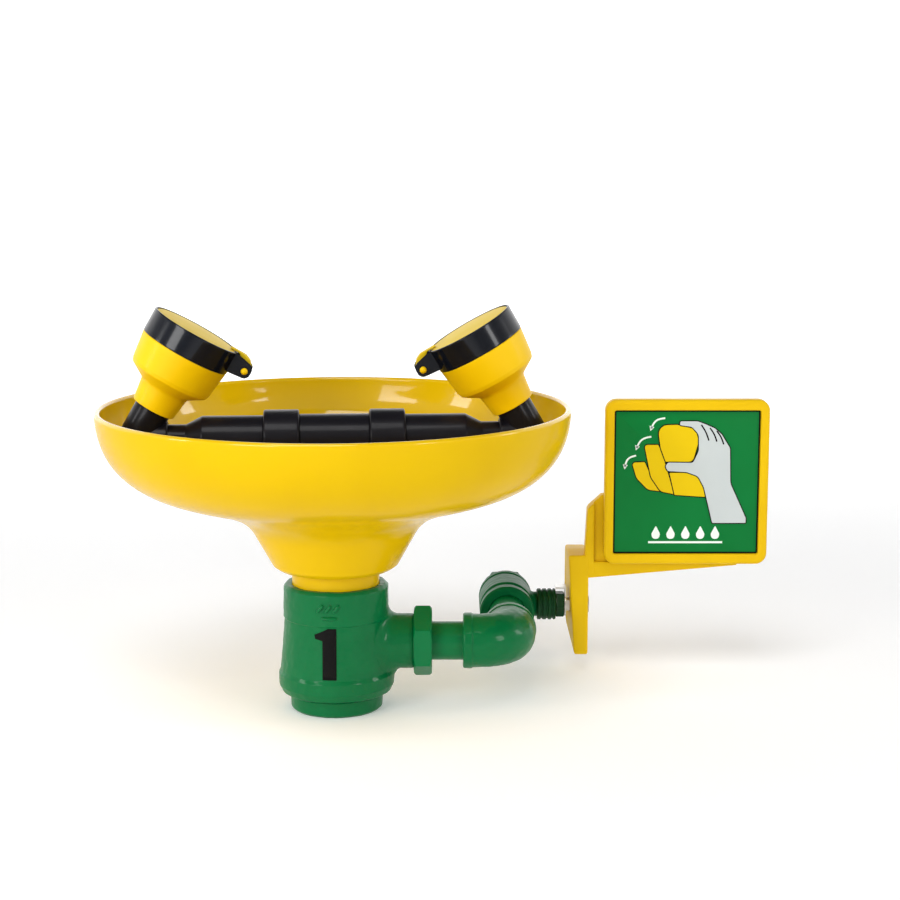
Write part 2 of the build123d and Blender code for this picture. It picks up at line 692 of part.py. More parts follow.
# ---- Both sides of the manifold: coupling, arm, elbow and spray head
for side, name in ((-1, "left"), (1, "right")):
    out = right * side
    tilt = radians(head_tilt)
    rise = up * cos(tilt) - out * sin(tilt)
    inward = out * -cos(tilt) - up * sin(tilt)
    corner = middle + out * corner_reach
    arm_plane = Plane(origin=middle, x_dir=(0, 0, 1), z_dir=out)
    head_plane = Plane(origin=corner, x_dir=inward, z_dir=rise)
    cut_plane = Plane(origin=corner, x_dir=inward, z_dir=inward.cross(rise))
    head_axis = Axis(corner, rise)
    pin_plane = Plane(
        origin=corner + rise * hinge_height + inward * hinge_reach,
        x_dir=inward,
        z_dir=inward.cross(rise),
    )

    with BuildPart() as coupling:
        with BuildSketch(arm_plane.offset(tee_arm_reach)):
            Circle(coupling_radius)
            Circle(plug_radius + thread_gap, mode=Mode.SUBTRACT)
        extrude(amount=coupling_end - tee_arm_reach)
        chamfer(coupling.edges().filter_by(GeomType.CIRCLE).filter_by(lambda e: e.radius > 15), length=0.8)
    coupling.part.label = f"{name}_coupling"
    export_step(coupling.part, f"parts/{name}_coupling.step")

    with BuildPart() as arm:
        arm_section = Plane(origin=middle, x_dir=out, z_dir=out.cross(up))
        with BuildSketch(arm_section):
            with BuildLine():
                Polyline(
                    (coupling_end - 9.7, 0),
                    (coupling_end - 9.7, plug_radius),
                    (coupling_end, plug_radius),
                    (coupling_end, arm_radius),
                    (arm_taper[0], arm_radius),
                    (arm_taper[1], arm_spigot),
                    (arm_reach, arm_spigot),
                    (arm_reach, 0),
                    close=True,
                )
            make_face()
        revolve(axis=Axis(middle, out))
        with BuildSketch(arm_plane):
            Circle(manifold_bore)
        extrude(amount=arm_reach, mode=Mode.SUBTRACT)
    arm.part.label = f"{name}_arm"
    export_step(arm.part, f"parts/{name}_arm.step")

    with BuildPart() as manifold_elbow:
        with BuildSketch(arm_plane.offset(elbow_socket)):
            Circle(black_radius)
        extrude(amount=corner_reach - elbow_socket)
        with Locations(corner):
            Sphere(black_radius)
        with BuildSketch(head_plane):
            Circle(black_radius)
        extrude(amount=neck_height)
        with BuildSketch(head_plane):
            Circle(neck_bore - thread_gap)
        extrude(amount=plug_height)
        with BuildSketch(head_plane.offset(plug_height - 6)):
            Circle(neck_bore + 1)
            Circle(neck_bore - 1.6, mode=Mode.SUBTRACT)
        extrude(amount=2.4, mode=Mode.SUBTRACT)
        with BuildSketch(arm_plane.offset(elbow_socket)):
            Circle(arm_spigot + thread_gap)
        extrude(amount=arm_reach - elbow_socket + 0.3, mode=Mode.SUBTRACT)
        with BuildSketch(arm_plane.offset(elbow_socket)):
            Circle(manifold_bore - 1)
        extrude(amount=corner_reach - elbow_socket, mode=Mode.SUBTRACT)
        with Locations(corner):
            Sphere(manifold_bore - 1, mode=Mode.SUBTRACT)
        with BuildSketch(head_plane):
            Circle(manifold_bore - 1)
        extrude(amount=plug_height, mode=Mode.SUBTRACT)
    manifold_elbow.part.label = f"{name}_manifold_elbow"
    export_step(manifold_elbow.part, f"parts/{name}_manifold_elbow.step")

    with BuildPart() as neck_seal:
        with BuildSketch(cut_plane):
            with Locations((neck_bore - 0.82, plug_height - 4.8)):
                Circle(0.72)
        revolve(axis=head_axis)
    neck_seal.part.label = f"{name}_neck_seal"
    export_step(neck_seal.part, f"parts/{name}_neck_seal.step")

    with BuildPart() as flow_control:
        with BuildSketch(head_plane.offset(plug_height)):
            Circle(neck_bore - thread_gap)
            Circle(1.6, mode=Mode.SUBTRACT)
            with PolarLocations(4.6, 6):
                Circle(1.0, mode=Mode.SUBTRACT)
        extrude(amount=2.6)
    flow_control.part.label = f"{name}_flow_control"
    export_step(flow_control.part, f"parts/{name}_flow_control.step")

    with BuildPart() as spray_cup:
        with BuildSketch(cut_plane):
            with BuildLine():
                Polyline(
                    (neck_bore, neck_height),
                    (neck_radius[0], neck_height),
                    (neck_radius[1], cone_foot),
                    (cup_radius[0] - 0.7, cup_shoulder - 0.9),
                    (cup_radius[0], cup_shoulder + 0.6),
                    (cup_radius[1], ring_foot),
                    (collar_radius, ring_foot),
                    (collar_radius, collar_top),
                    (cup_bore, collar_top),
                    (cup_bore, cup_shoulder + 3.6),
                    (neck_radius[1] - 4.6, plug_height + 6.4),
                    (neck_bore - 1.6, plug_height + 4.4),
                    (neck_bore - 1.6, plug_height + 2.6),
                    (neck_bore, plug_height + 2.6),
                    close=True,
                )
            make_face()
        revolve(axis=head_axis)
    spray_cup.part.label = f"{name}_spray_cup"
    export_step(spray_cup.part, f"parts/{name}_spray_cup.step")

    with BuildPart() as foam_filter:
        with BuildSketch(head_plane.offset(cup_shoulder + 3.8)):
            Circle(cup_bore - 0.2)
        extrude(amount=collar_top - cup_shoulder - 4.0)
    foam_filter.part.label = f"{name}_foam_filter"
    export_step(foam_filter.part, f"parts/{name}_foam_filter.step")

    with BuildPart() as spray_disc:
        with BuildSketch(head_plane.offset(collar_top)):
            Circle(collar_radius)
            Circle(0.9, mode=Mode.SUBTRACT)
            for hole_ring, hole_count in ((5.0, 6), (10.0, 12), (15.0, 18)):
                with PolarLocations(hole_ring, hole_count):
                    Circle(0.9, mode=Mode.SUBTRACT)
        extrude(amount=disc_thickness)
    spray_disc.part.label = f"{name}_spray_disc"
    export_step(spray_disc.part, f"parts/{name}_spray_disc.step")

    # Cap ring: screwed over the cup's collar, shallow recess for the lid, two hinge ears
    ear_start = knuckle_width / 2 + seat_gap
    with BuildPart() as cap_ring:
        with BuildSketch(cut_plane):
            with BuildLine():
                Polyline(
                    (collar_radius + thread_gap, ring_foot),
                    (ring_radius, ring_foot),
                    (ring_radius, head_top - 0.4),
                    (ring_radius - 0.4, head_top),
                    (lid_radius + rim_gap, head_top),
                    (lid_radius + rim_gap, head_top - lid_recess),
                    (cup_bore, head_top - lid_recess),
                    (cup_bore, collar_top + disc_thickness),
                    (collar_radius + thread_gap, collar_top + disc_thickness),
                    close=True,
                )
            make_face()
        revolve(axis=head_axis)
        for ear_side in (-1, 1):
            ear_plane = pin_plane.offset(ear_start if ear_side > 0 else -ear_start - ear_width)
            with BuildSketch(ear_plane):
                Circle(knuckle_radius + 0.4)
                with BuildLine():
                    Polyline(
                        (0, knuckle_radius + 0.4),
                        (ring_radius - 1 - hinge_reach, knuckle_radius - 0.4),
                        (ring_radius - 1 - hinge_reach, -knuckle_radius - 2.5),
                        (0, -knuckle_radius - 0.4),
                        close=True,
                    )
                make_face()
            extrude(amount=ear_width)
        with BuildSketch(pin_plane.offset(-ear_start - ear_width)):
            Circle(pin_radius + thread_gap / 2)
        extrude(amount=2 * (ear_start + ear_width), mode=Mode.SUBTRACT)
    cap_ring.part.label = f"{name}_cap_ring"
    export_step(cap_ring.part, f"parts/{name}_cap_ring.step")

    with BuildPart() as hinge_pin:
        with BuildSketch(pin_plane.offset(-ear_start - ear_width - 0.1)):
            Circle(pin_radius)
        extrude(amount=2 * (ear_start + ear_width + 0.1))
        for end in (-1, 1):
            with Locations(pin_plane.origin + pin_plane.z_dir * (end * (ear_start + ear_width + 1.6))):
                Sphere(1.9)
    hinge_pin.part.label = f"{name}_hinge_pin"
    export_step(hinge_pin.part, f"parts/{name}_hinge_pin.step")

    # Dust lid: disc in the ring's recess, stiffening ring below, tab and knuckle to the pin
    lid_foot = head_top - lid_recess + 0.2
    lid_top = lid_foot + lid_thickness
    with BuildPart() as dust_lid:
        with BuildSketch(cut_plane):
            with BuildLine():
                Polyline(
                    (0, lid_foot),
                    (16.5, lid_foot),
                    (16.5, lid_foot - 1.8),
                    (18.0, lid_foot - 1.8),
                    (18.0, lid_foot),
                    (lid_radius - 0.5, lid_foot),
                    (lid_radius, lid_foot + 0.5),
                    (lid_radius, lid_top - 0.5),
                    (lid_radius - 0.6, lid_top),
                    (0, lid_top),
                    close=True,
                )
            make_face()
        revolve(axis=head_axis)
        with BuildSketch(pin_plane.offset(-knuckle_width / 2)):
            Circle(knuckle_radius)
            with BuildLine():
                Polyline(
                    (lid_radius - 4 - hinge_reach, lid_top - 0.2 - hinge_height),
                    (lid_radius - 4 - hinge_reach, head_top + 0.25 - hinge_height),
                    (-1.6, head_top + 0.25 - hinge_height),
                    (-2.2, 2.0),
                    (0, 0),
                    (2.2, 2.0),
                    (2.0, lid_top - 0.4 - hinge_height),
                    (1.0, lid_top + 0.8 - hinge_height),
                    (lid_radius - hinge_reach, lid_top + 0.8 - hinge_height),
                    close=True,
                )
            make_face()
        extrude(amount=knuckle_width)
        with BuildSketch(pin_plane.offset(-knuckle_width / 2)):
            Circle(pin_radius + running_gap)
        extrude(amount=knuckle_width, mode=Mode.SUBTRACT)
    dust_lid.part.label = f"{name}_dust_lid"
    export_step(dust_lid.part, f"parts/{name}_dust_lid.step")
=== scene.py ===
import bpy
import math
import numpy as np
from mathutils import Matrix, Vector


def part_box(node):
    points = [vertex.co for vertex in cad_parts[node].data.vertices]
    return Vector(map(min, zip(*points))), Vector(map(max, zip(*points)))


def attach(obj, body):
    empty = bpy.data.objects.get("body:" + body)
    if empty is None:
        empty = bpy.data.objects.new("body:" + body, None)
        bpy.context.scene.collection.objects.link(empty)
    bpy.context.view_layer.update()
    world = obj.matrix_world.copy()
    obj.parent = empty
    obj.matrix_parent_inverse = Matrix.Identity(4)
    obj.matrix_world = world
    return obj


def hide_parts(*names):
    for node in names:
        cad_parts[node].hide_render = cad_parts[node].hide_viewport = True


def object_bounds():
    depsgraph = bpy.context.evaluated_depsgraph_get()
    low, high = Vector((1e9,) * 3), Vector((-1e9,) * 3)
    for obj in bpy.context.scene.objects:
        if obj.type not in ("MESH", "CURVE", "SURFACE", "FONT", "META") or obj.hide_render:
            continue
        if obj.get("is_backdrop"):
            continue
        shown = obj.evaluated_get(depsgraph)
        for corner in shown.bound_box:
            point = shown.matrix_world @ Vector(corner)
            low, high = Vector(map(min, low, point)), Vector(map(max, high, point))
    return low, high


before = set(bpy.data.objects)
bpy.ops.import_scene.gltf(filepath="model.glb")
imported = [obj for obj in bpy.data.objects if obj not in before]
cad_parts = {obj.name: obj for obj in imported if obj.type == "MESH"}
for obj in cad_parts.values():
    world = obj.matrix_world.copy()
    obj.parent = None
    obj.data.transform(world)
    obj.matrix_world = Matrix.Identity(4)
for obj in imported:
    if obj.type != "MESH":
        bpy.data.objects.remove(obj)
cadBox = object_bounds()

mm = 0.001  # shapes below are worked out in millimetres and put into metres by putAt
seed = 7  # for the wandering of cast faces
xWay, yWay, zWay = np.eye(3)
print("frame loaded:", len(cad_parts), "nodes")


# Shapes as grids of points

# Vector of length one
def unit(way):
    way = np.asarray(way, float)
    return way / np.linalg.norm(way)


# A spot is an origin and three axes at right angles; across is the axis turned square to the side
def spot(origin, side, axis):
    side, axis = unit(side), unit(axis)
    return {"origin": np.asarray(origin, float), "side": side, "across": np.cross(axis, side), "axis": axis}


# A spot with all three axes given, for a face whose across has to point a certain way
def laid(origin, side, across, axis):
    return {"origin": np.asarray(origin, float), "side": side, "across": across, "axis": axis}


# Point of a spot: origin + a along the side + b along across + c along the axis, in metres
def putAt(where, a, b, c):
    a, b, c = np.broadcast_arrays(a, b, c)
    parts = (a, where["side"]), (b, where["across"]), (c, where["axis"])
    return (where["origin"] + sum(value[..., None] * way for value, way in parts)) * mm


# Lowest and highest corners of a CAD node, in millimetres
def reach(node):
    low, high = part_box(node)
    return np.array(low) / mm, np.array(high) / mm


# Corners (a, b, radius) to an outline: each corner becomes an arc tangent to both of its sides, and a
# side longer than the spacing gets even points between
def rounded(corners, closed=False, steps=6, spacing=None):
    points = np.array([corner[:2] for corner in corners], float)
    count = len(points)
    outline = []
    for index, (point, corner) in enumerate(zip(points, corners)):
        radius = corner[2]
        if radius <= 0 or (not closed and index in (0, count - 1)):
            outline.append(point[None])
            continue
        back, ahead = unit(points[index - 1] - point), unit(points[(index + 1) % count] - point)
        half = math.acos(np.clip(back @ ahead, -1, 1)) / 2
        if half > math.pi / 2 - 0.01:
            outline.append(point[None])
            continue
        middle = point + unit(back + ahead) * radius / math.sin(half)
        first = unit(point + back * radius / math.tan(half) - middle)
        last = unit(point + ahead * radius / math.tan(half) - middle)
        swing = math.pi - 2 * half
        share = np.linspace(0, 1, steps + 1)[:, None]
        arc = (np.sin((1 - share) * swing) * first + np.sin(share * swing) * last) / math.sin(swing)
        outline.append(middle + radius * arc)
    outline = np.concatenate(outline)
    if spacing is None:
        return outline
    if closed:
        outline = np.concatenate([outline, outline[:1]])
    travel = np.concatenate([[0], np.cumsum(np.linalg.norm(np.diff(outline, axis=0), axis=1))])
    marks = np.unique(np.concatenate([travel, np.arange(0, travel[-1], spacing)]))
    dense = np.stack([np.interp(marks, travel, outline[:, axis]) for axis in (0, 1)], axis=1)
    return dense[:-1] if closed else dense


# Smooth curve through points: cubic pieces in chord length whose bending runs on over each point, with
# the end directions given
def smoothCurve(points, startWay, endWay, steps):
    points = np.array(points, float)
    chord = np.linalg.norm(np.diff(points, axis=0), axis=1)
    count = len(points)
    system, wanted = np.eye(count), np.zeros((count, 2))
    wanted[0], wanted[-1] = unit(startWay), unit(endWay)
    for index in range(1, count - 1):
        before, after = chord[index - 1], chord[index]
        system[index, index - 1 : index + 2] = (1 / before, 2 / before + 2 / after, 1 / after)
        rise, nextRise = np.diff(points[index - 1 : index + 2], axis=0)
        wanted[index] = 3 * (rise / before**2 + nextRise / after**2)
    slopes = np.linalg.solve(system, wanted)
    share = np.linspace(0, 1, steps, endpoint=False)[:, None]
    pieces = []
    for index, length in enumerate(chord):
        pieces.append(
            (2 * share**3 - 3 * share**2 + 1) * points[index]
            + (share**3 - 2 * share**2 + share) * length * slopes[index]
            + (3 * share**2 - 2 * share**3) * points[index + 1]
            + (share**3 - share**2) * length * slopes[index + 1]
        )
    return np.concatenate(pieces + [points[-1:]])


# Profile of (radius, height) turned about a spot's axis
def turned(profile, where, columns=128):
    angle = np.linspace(0, 2 * np.pi, columns, endpoint=False)
    radius, height = profile[:, :1], profile[:, 1:2]
    return putAt(where, radius * np.cos(angle), radius * np.sin(angle), height)


# Corners moved square to their sides by the inset, inwards, then rounded again with what is left of
# each radius
def insetOutline(corners, inset, steps):
    points = np.array([corner[:2] for corner in corners], float)
    back = points - np.roll(points, 1, axis=0)
    ahead = np.roll(points, -1, axis=0) - points
    back /= np.linalg.norm(back, axis=1)[:, None]
    ahead /= np.linalg.norm(ahead, axis=1)[:, None]
    normals = np.stack([-back[:, 1] - ahead[:, 1], back[:, 0] + ahead[:, 0]], axis=1)
    normals /= np.linalg.norm(normals, axis=1)[:, None]
    lean = np.abs(normals[:, 0] * -ahead[:, 1] + normals[:, 1] * ahead[:, 0])
    moved = points + normals * (inset / lean)[:, None]
    convex = np.sign(back[:, 0] * ahead[:, 1] - back[:, 1] * ahead[:, 0])
    radii = np.maximum([corner[2] for corner in corners] - convex * inset, 0.05)
    return rounded([(*point, radius) for point, radius in zip(moved, radii)], closed=True, steps=steps)


# Outline carried through a profile of (inset, depth) pairs: one ring of the outline for each pair
def carried(corners, profile, where, steps=6):
    rings = [insetOutline(corners, inset, steps) for inset, depth in profile]
    flat = np.stack(rings)
    depth = np.array([depth for inset, depth in profile])[:, None]
    return putAt(where, flat[..., 0], flat[..., 1], depth)


# Slab profile: quarter rounds at both faces of a plate between two depths
def slab(low, high, edge, steps=4):
    turn = np.linspace(0, np.pi / 2, steps + 1)
    start = [(edge * (1 - math.sin(a)), low + edge * (1 - math.cos(a))) for a in turn]
    return start + [(inset, high + low - depth) for inset, depth in reversed(start)]


# Profile of (distance, radius) swept along a path given as a function of distance: centre, normal and
# binormal there, and a ring of the radius round the centre
def swept(path, profile, columns=96):
    angle = np.linspace(0, 2 * np.pi, columns, endpoint=False)
    centre, normal, binormal = path(profile[:, 0])
    radius = profile[:, 1][:, None, None]
    ring = np.cos(angle)[None, :, None] * normal[:, None] + np.sin(angle)[None, :, None] * binormal[:, None]
    return (centre[:, None] + radius * ring) * mm


# Path with one bend: straight, arc of the bend's radius, straight. The distance runs from its start
def bentPath(start, startWay, endWay, corner, bend):
    startWay, endWay = unit(startWay), unit(endWay)
    turn = math.acos(startWay @ endWay)
    binormal = unit(np.cross(startWay, endWay))
    toArc = np.linalg.norm(np.asarray(corner, float) - start) - bend * math.tan(turn / 2)
    inwards = np.cross(binormal, startWay)
    centre = start + startWay * toArc + inwards * bend

    def path(distance):
        swing = np.clip((distance - toArc) / bend, 0, turn)[:, None]
        way = np.cos(swing) * startWay + np.sin(swing) * inwards
        normal = np.cross(binormal, way)
        before = np.minimum(distance - toArc, 0)[:, None]
        after = np.maximum(distance - toArc - bend * turn, 0)[:, None]
        place = centre - normal * bend + way * (before + after)
        return place, -normal, np.broadcast_to(binormal, place.shape)

    return path


# Branch out of a turned body: each ring follows the body's skin at first, a root of the given radius
# blends it in, and it ends flat. bodyRadius gives the body's radius at a height along its axis
def branched(where, bodyRadius, radius, root, end, mouth, columns=96):
    angle = np.linspace(0, 2 * np.pi, columns, endpoint=False)

    def skin(ringRadius):
        sideways, height = ringRadius * np.cos(angle), ringRadius * np.sin(angle)
        return np.sqrt(bodyRadius(height) ** 2 - sideways**2), sideways, height

    turn = np.linspace(0, np.pi / 2, 14)
    rows = []
    for a in turn:
        out, sideways, height = skin(radius + root * (1 - math.sin(a)))
        rows.append((out + root * (1 - math.cos(a)), sideways, height))
    start = rows[-1][0]
    for share in np.linspace(0.1, 1, 8):
        rows.append((start + (end - mouth[0][0] - start) * share, rows[-1][1], rows[-1][2]))
    for back, ring in mouth[1:]:
        rows.append((np.full(columns, end - back), ring * np.cos(angle), ring * np.sin(angle)))
    out, sideways, height = (np.stack(part) for part in zip(*rows))
    return putAt(where, sideways, height, out)


# Hexagon nut: radius is the flat's distance over the cosine to the flat's middle, held in softly by a
# cone from each face. The smaller of the two is taken by a soft minimum
nutShape = {"chamfer": 1.04, "slope": 1.73, "edge": 2.6, "rows": 7, "soft": 0.12, "lead": 0.7, "columns": 180}


def hexNut(where, flats, width, bore):
    shape, half = nutShape, flats / 2
    soft, lead = shape["soft"], shape["lead"]
    angle = np.linspace(0, 2 * np.pi, shape["columns"], endpoint=False)
    lean = np.mod(angle, np.pi / 3) - np.pi / 6
    hexagon = np.minimum(half / np.cos(lean), flats / math.sqrt(3) - soft)
    rise = np.linspace(0, shape["edge"], shape["rows"])
    edge = np.concatenate([rise, width - rise[::-1]])
    cone = half * shape["chamfer"] + np.minimum(edge, width - edge)[:, None] * shape["slope"]
    radius = half - soft * np.log(np.exp((half - hexagon) / soft) + np.exp((half - cone) / soft))
    rim = np.full((2, len(angle)), [[bore], [bore + lead]])
    radius = np.concatenate([rim, radius, rim[::-1]])
    height = np.concatenate([[lead, 0], edge, [width, width - lead]])[:, None]
    return putAt(where, radius * np.cos(angle), radius * np.sin(angle), height)


# Wandering of a cast or moulded face: a sum of waves with seeded directions, along the grid's normals
def wavered(points, height, size, waves=24):
    chance = np.random.default_rng(seed)
    along = np.gradient(points, axis=0)
    around = (np.roll(points, -1, axis=1) - np.roll(points, 1, axis=1)) / 2
    normal = np.cross(along, around)
    normal /= np.maximum(np.linalg.norm(normal, axis=-1, keepdims=True), 1e-12)
    ways = chance.normal(size=(waves, 3)) * 2 * np.pi / (size * mm)
    phases = chance.uniform(0, 2 * np.pi, waves)
    lift = np.sin(points @ ways.T + phases).sum(axis=-1) / math.sqrt(waves)
    return points + normal * (lift * height * mm)[..., None]


# Pieces from grids

# Grids to one mesh. A closing of "loop" joins the last row to the first, "caps" shuts both ends with a
# face, and "sheet" leaves all four sides open. Closed surfaces are turned so that their volume is
# positive, and sheets so that they face the front. Edges past the sharp angle, in degrees, stay crisp
def makePiece(name, surfaces, finish, standsFor=(), body="root", sharp=34):
    vertices, faces, base = [], [], 0
    for points, closing in surfaces:
        rows, columns = points.shape[:2]
        flat = points.reshape(-1, 3)
        row = np.arange(rows if closing == "loop" else rows - 1)[:, None]
        column = np.arange(columns - 1 if closing == "sheet" else columns)[None, :]
        nextRow, nextColumn = (row + 1) % rows, (column + 1) % columns
        corners = (row, column), (row, nextColumn), (nextRow, nextColumn), (nextRow, column)
        quads = np.stack([(r * columns + c).ravel() for r, c in corners], axis=1)
        whole = list(quads)
        if closing == "caps":
            whole += [np.arange(columns)[::-1], (rows - 1) * columns + np.arange(columns)]
        measure = 0
        for face in [quads] + [cap[None] for cap in whole[len(quads) :]]:
            ring = flat[face]
            cross = np.cross(ring[:, 1:-1] - ring[:, :1], ring[:, 2:] - ring[:, :1])
            against = -yWay if closing == "sheet" else ring[:, :1] - flat.mean(axis=0)
            measure += (cross * against).sum()
        vertices.append(flat)
        faces += [(face if measure > 0 else face[::-1]) + base for face in whole]
        base += len(flat)
    mesh = bpy.data.meshes.new(name)
    mesh.from_pydata(np.concatenate(vertices).tolist(), [], [face.tolist() for face in faces])
    mesh.shade_smooth()
    mesh.set_sharp_from_angle(angle=math.radians(sharp))
    mesh.materials.append(finishes[finish])
    piece = bpy.data.objects.new(name, mesh)
    bpy.context.scene.collection.objects.link(piece)
    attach(piece, body)
    if standsFor:
        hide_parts(*standsFor)
    return piece


# Finishes

# sRGB tint, 0 to 255, to the linear colour that a shader takes
def tint(red, green, blue):
    share = np.array([red, green, blue]) / 255
    linear = np.where(share <= 0.04045, share / 12.92, ((share + 0.055) / 1.055) ** 2.4)
    return (*linear.tolist(), 1.0)


# One socket of a finish; an expression on fields adds its Math nodes
class Field:
    def __init__(self, finish, socket):
        self.finish, self.socket = finish, socket

    # Two values joined by a Math node
    def joined(self, operation, first, second):
        made = self.finish.node("ShaderNodeMath", {"operation": operation}, {0: first, 1: second})
        return Field(self.finish, made.outputs[0])

    def __add__(self, other):
        return self.joined("ADD", self, other)

    def __sub__(self, other):
        return self.joined("SUBTRACT", self, other)

    def __rsub__(self, other):
        return self.joined("SUBTRACT", other, self)

    def __mul__(self, other):
        return self.joined("MULTIPLY", self, other)

    __radd__, __rmul__ = __add__, __mul__

    # 0 below low, 1 above high, an even S between
    def between(self, low, high):
        sockets = {"Value": self, "From Min": low, "From Max": high}
        made = self.finish.node("ShaderNodeMapRange", {"interpolation_type": "SMOOTHSTEP"}, sockets)
        return Field(self.finish, made.outputs[0])


# A material with one Principled shader; patterns lie on Object coordinates, in metres
class Finish:
    def __init__(self, name, **uniform):
        self.material = bpy.data.materials.new(name)
        self.material.use_nodes = True
        self.tree = self.material.node_tree
        self.tree.nodes.clear()
        self.shader = self.node("ShaderNodeBsdfPrincipled", None, uniform)
        self.node("ShaderNodeOutputMaterial", None, {"Surface": Field(self, self.shader.outputs[0])})
        self.where = Field(self, self.node("ShaderNodeTexCoord").outputs["Object"])

    # Any node: its type, its settings, then the values or links of its sockets
    def node(self, kind, settings=None, sockets=None):
        made = self.tree.nodes.new(kind)
        for key, value in (settings or {}).items():
            setattr(made, key, value)
        for key, value in (sockets or {}).items():
            self.feed(made, key, value)
        return made

    # A socket takes a link from a field, or a plain value. An underscore in its name stands for a space
    def feed(self, node, key, value):
        key = key.replace("_", " ") if isinstance(key, str) else key
        if isinstance(value, Field):
            self.tree.links.new(value.socket, node.inputs[key])
        else:
            node.inputs[key].default_value = value

    # Object coordinates times a scale along each axis
    def stretched(self, scale):
        made = self.node("ShaderNodeMapping", None, {"Vector": self.where, "Scale": scale})
        return Field(self, made.outputs[0])

    # Fractal noise, 0 to 1; the scale is in features to the metre
    def noise(self, scale, detail=3.0, rough=0.55, where=None):
        sockets = {"Vector": where or self.where, "Scale": scale, "Detail": detail, "Roughness": rough}
        return Field(self, self.node("ShaderNodeTexNoise", None, sockets).outputs[0])

    # Distance to the nearest cell's middle, as a share of the cell
    def cells(self, scale):
        made = self.node("ShaderNodeTexVoronoi", {"feature": "F1"}, {"Vector": self.where, "Scale": scale})
        return Field(self, made.outputs[0])

    # First colour where the share is 0, second where it is 1
    def mixed(self, share, first, second):
        made = self.node("ShaderNodeMix", {"data_type": "RGBA"}, {0: share, 6: first, 7: second})
        return Field(self, made.outputs[2])

    # Height field to the normal; the depth is in metres
    def relief(self, height, depth):
        made = self.node("ShaderNodeBump", None, {"Height": height, "Distance": depth, "Strength": 1.0})
        self.feed(self.shader, "Normal", Field(self, made.outputs[0]))

    def colour(self, value):
        self.feed(self.shader, "Base Color", value)

    def roughness(self, value):
        self.feed(self.shader, "Roughness", value)


# Moulded or enamelled plastic: slow drift of tone, faint dust in the gloss, orange peel and slow waves.
# Upward is the coat added where a face looks up: a bowl's inside is shinier than its outside
def plastic(
    name, tone, deep, gloss, peel=0.000006, peelSize=420, wave=0.00003,
    coat=0.2, dust=0.08, mirror=0.3, upward=0.0,
):
    made = Finish(name, Coat_Weight=coat, Coat_Roughness=0.06, IOR=1.49, Specular_IOR_Level=mirror)
    drift = made.noise(14, 2).between(0.35, 0.7)
    speck = made.noise(1900, 2).between(0.62, 0.78)
    made.colour(made.mixed(drift * 0.55 + speck * 0.2, tone, deep))
    smear = made.noise(36, 4, 0.65).between(0.45, 0.75)
    scuff = made.noise(90, 5, 0.7, made.stretched((1, 1, 6))).between(0.6, 0.72)
    made.roughness(gloss + smear * dust + scuff * dust * 0.6)
    made.relief(made.noise(peelSize, 2, 0.5) * (peel / wave) + made.noise(22, 1, 0.4), wave)
    if upward:
        facing = Field(made, made.node("ShaderNodeNewGeometry").outputs["Normal"])
        rise = Field(made, made.node("ShaderNodeSeparateXYZ", None, {0: facing}).outputs[2])
        made.feed(made.shader, "Coat_Weight", rise.between(-0.1, 0.45) * upward + coat)
    return made.material


# Paint on cast or drawn iron: sand-cast lumps under the paint, pits, and paint darker in random patches
def castPaint(name, tone, deep, worn, gloss, lump=0.00016, lumpSize=240, coat=0.2):
    made = Finish(name, Coat_Weight=coat, Coat_Roughness=0.1, IOR=1.46, Specular_IOR_Level=0.1)
    drift = made.noise(24, 3).between(0.3, 0.72)
    grain = made.noise(lumpSize * 2.6, 3, 0.6)
    pits = 1 - made.cells(lumpSize * 1.3).between(0.02, 0.2)
    base = made.mixed(drift * 0.45 + grain.between(0.5, 0.8) * 0.2, tone, deep)
    rub = made.noise(55, 5, 0.7).between(0.62, 0.74) * made.noise(700, 2).between(0.45, 0.6)
    made.colour(made.mixed(rub * 0.2, base, worn))
    made.roughness(gloss + grain * 0.14 + rub * 0.15)
    made.relief(made.noise(lumpSize, 3, 0.5) + grain * 0.25 - pits * 0.12, lump)
    return made.material


# Bare metal, drawn or turned: fine lines across the stretch, tarnish in patches
def metal(name, tone, dull, gloss, stretch=(1, 1, 30), depth=0.00001):
    made = Finish(name, Metallic=1.0)
    lines = made.noise(260, 4, 0.6, made.stretched(stretch))
    tarnish = made.noise(45, 4, 0.6).between(0.45, 0.75)
    made.colour(made.mixed(tarnish * 0.6 + lines * 0.2, tone, dull))
    made.roughness(gloss + lines * 0.12 + tarnish * 0.15)
    made.relief(lines, depth)
    return made.material


# Matt stuff: rubber, seal white and foam, with open cells where the pore size is given; the middle of each
# cell is sunk and painted darker, as painted shade in the pore
def matt(name, tone, deep, rough, pores=0, depth=0.00003):
    made = Finish(name, IOR=1.45, Specular_IOR_Level=0.3)
    grain = made.noise(900, 3)
    height = grain
    share = made.noise(60, 3).between(0.35, 0.7) * 0.6 + grain * 0.25
    if pores:
        cell = made.cells(pores).between(0.1, 0.55)
        height = cell + grain * 0.2
        # Painted shade: the middle of each pore takes the deep colour, standing in for the shade inside the
        # hole
        share = 1 - cell
    made.colour(made.mixed(share, tone, deep))
    made.roughness(rough + grain * 0.1)
    made.relief(height, depth)
    return made.material


# Printed sheet or ink: even tone with print grain and a satin face
def printed(name, tone, deep, gloss=0.32):
    made = Finish(name, IOR=1.47, Specular_IOR_Level=0.15)
    grain = made.noise(2600, 2)
    drift = made.noise(30, 3).between(0.3, 0.75)
    made.colour(made.mixed(drift * 0.5 + grain.between(0.5, 0.7) * 0.15, tone, deep))
    made.roughness(gloss + grain * 0.08 + drift * 0.06)
    made.relief(grain + made.noise(120, 2) * 2, 0.000006)
    return made.material


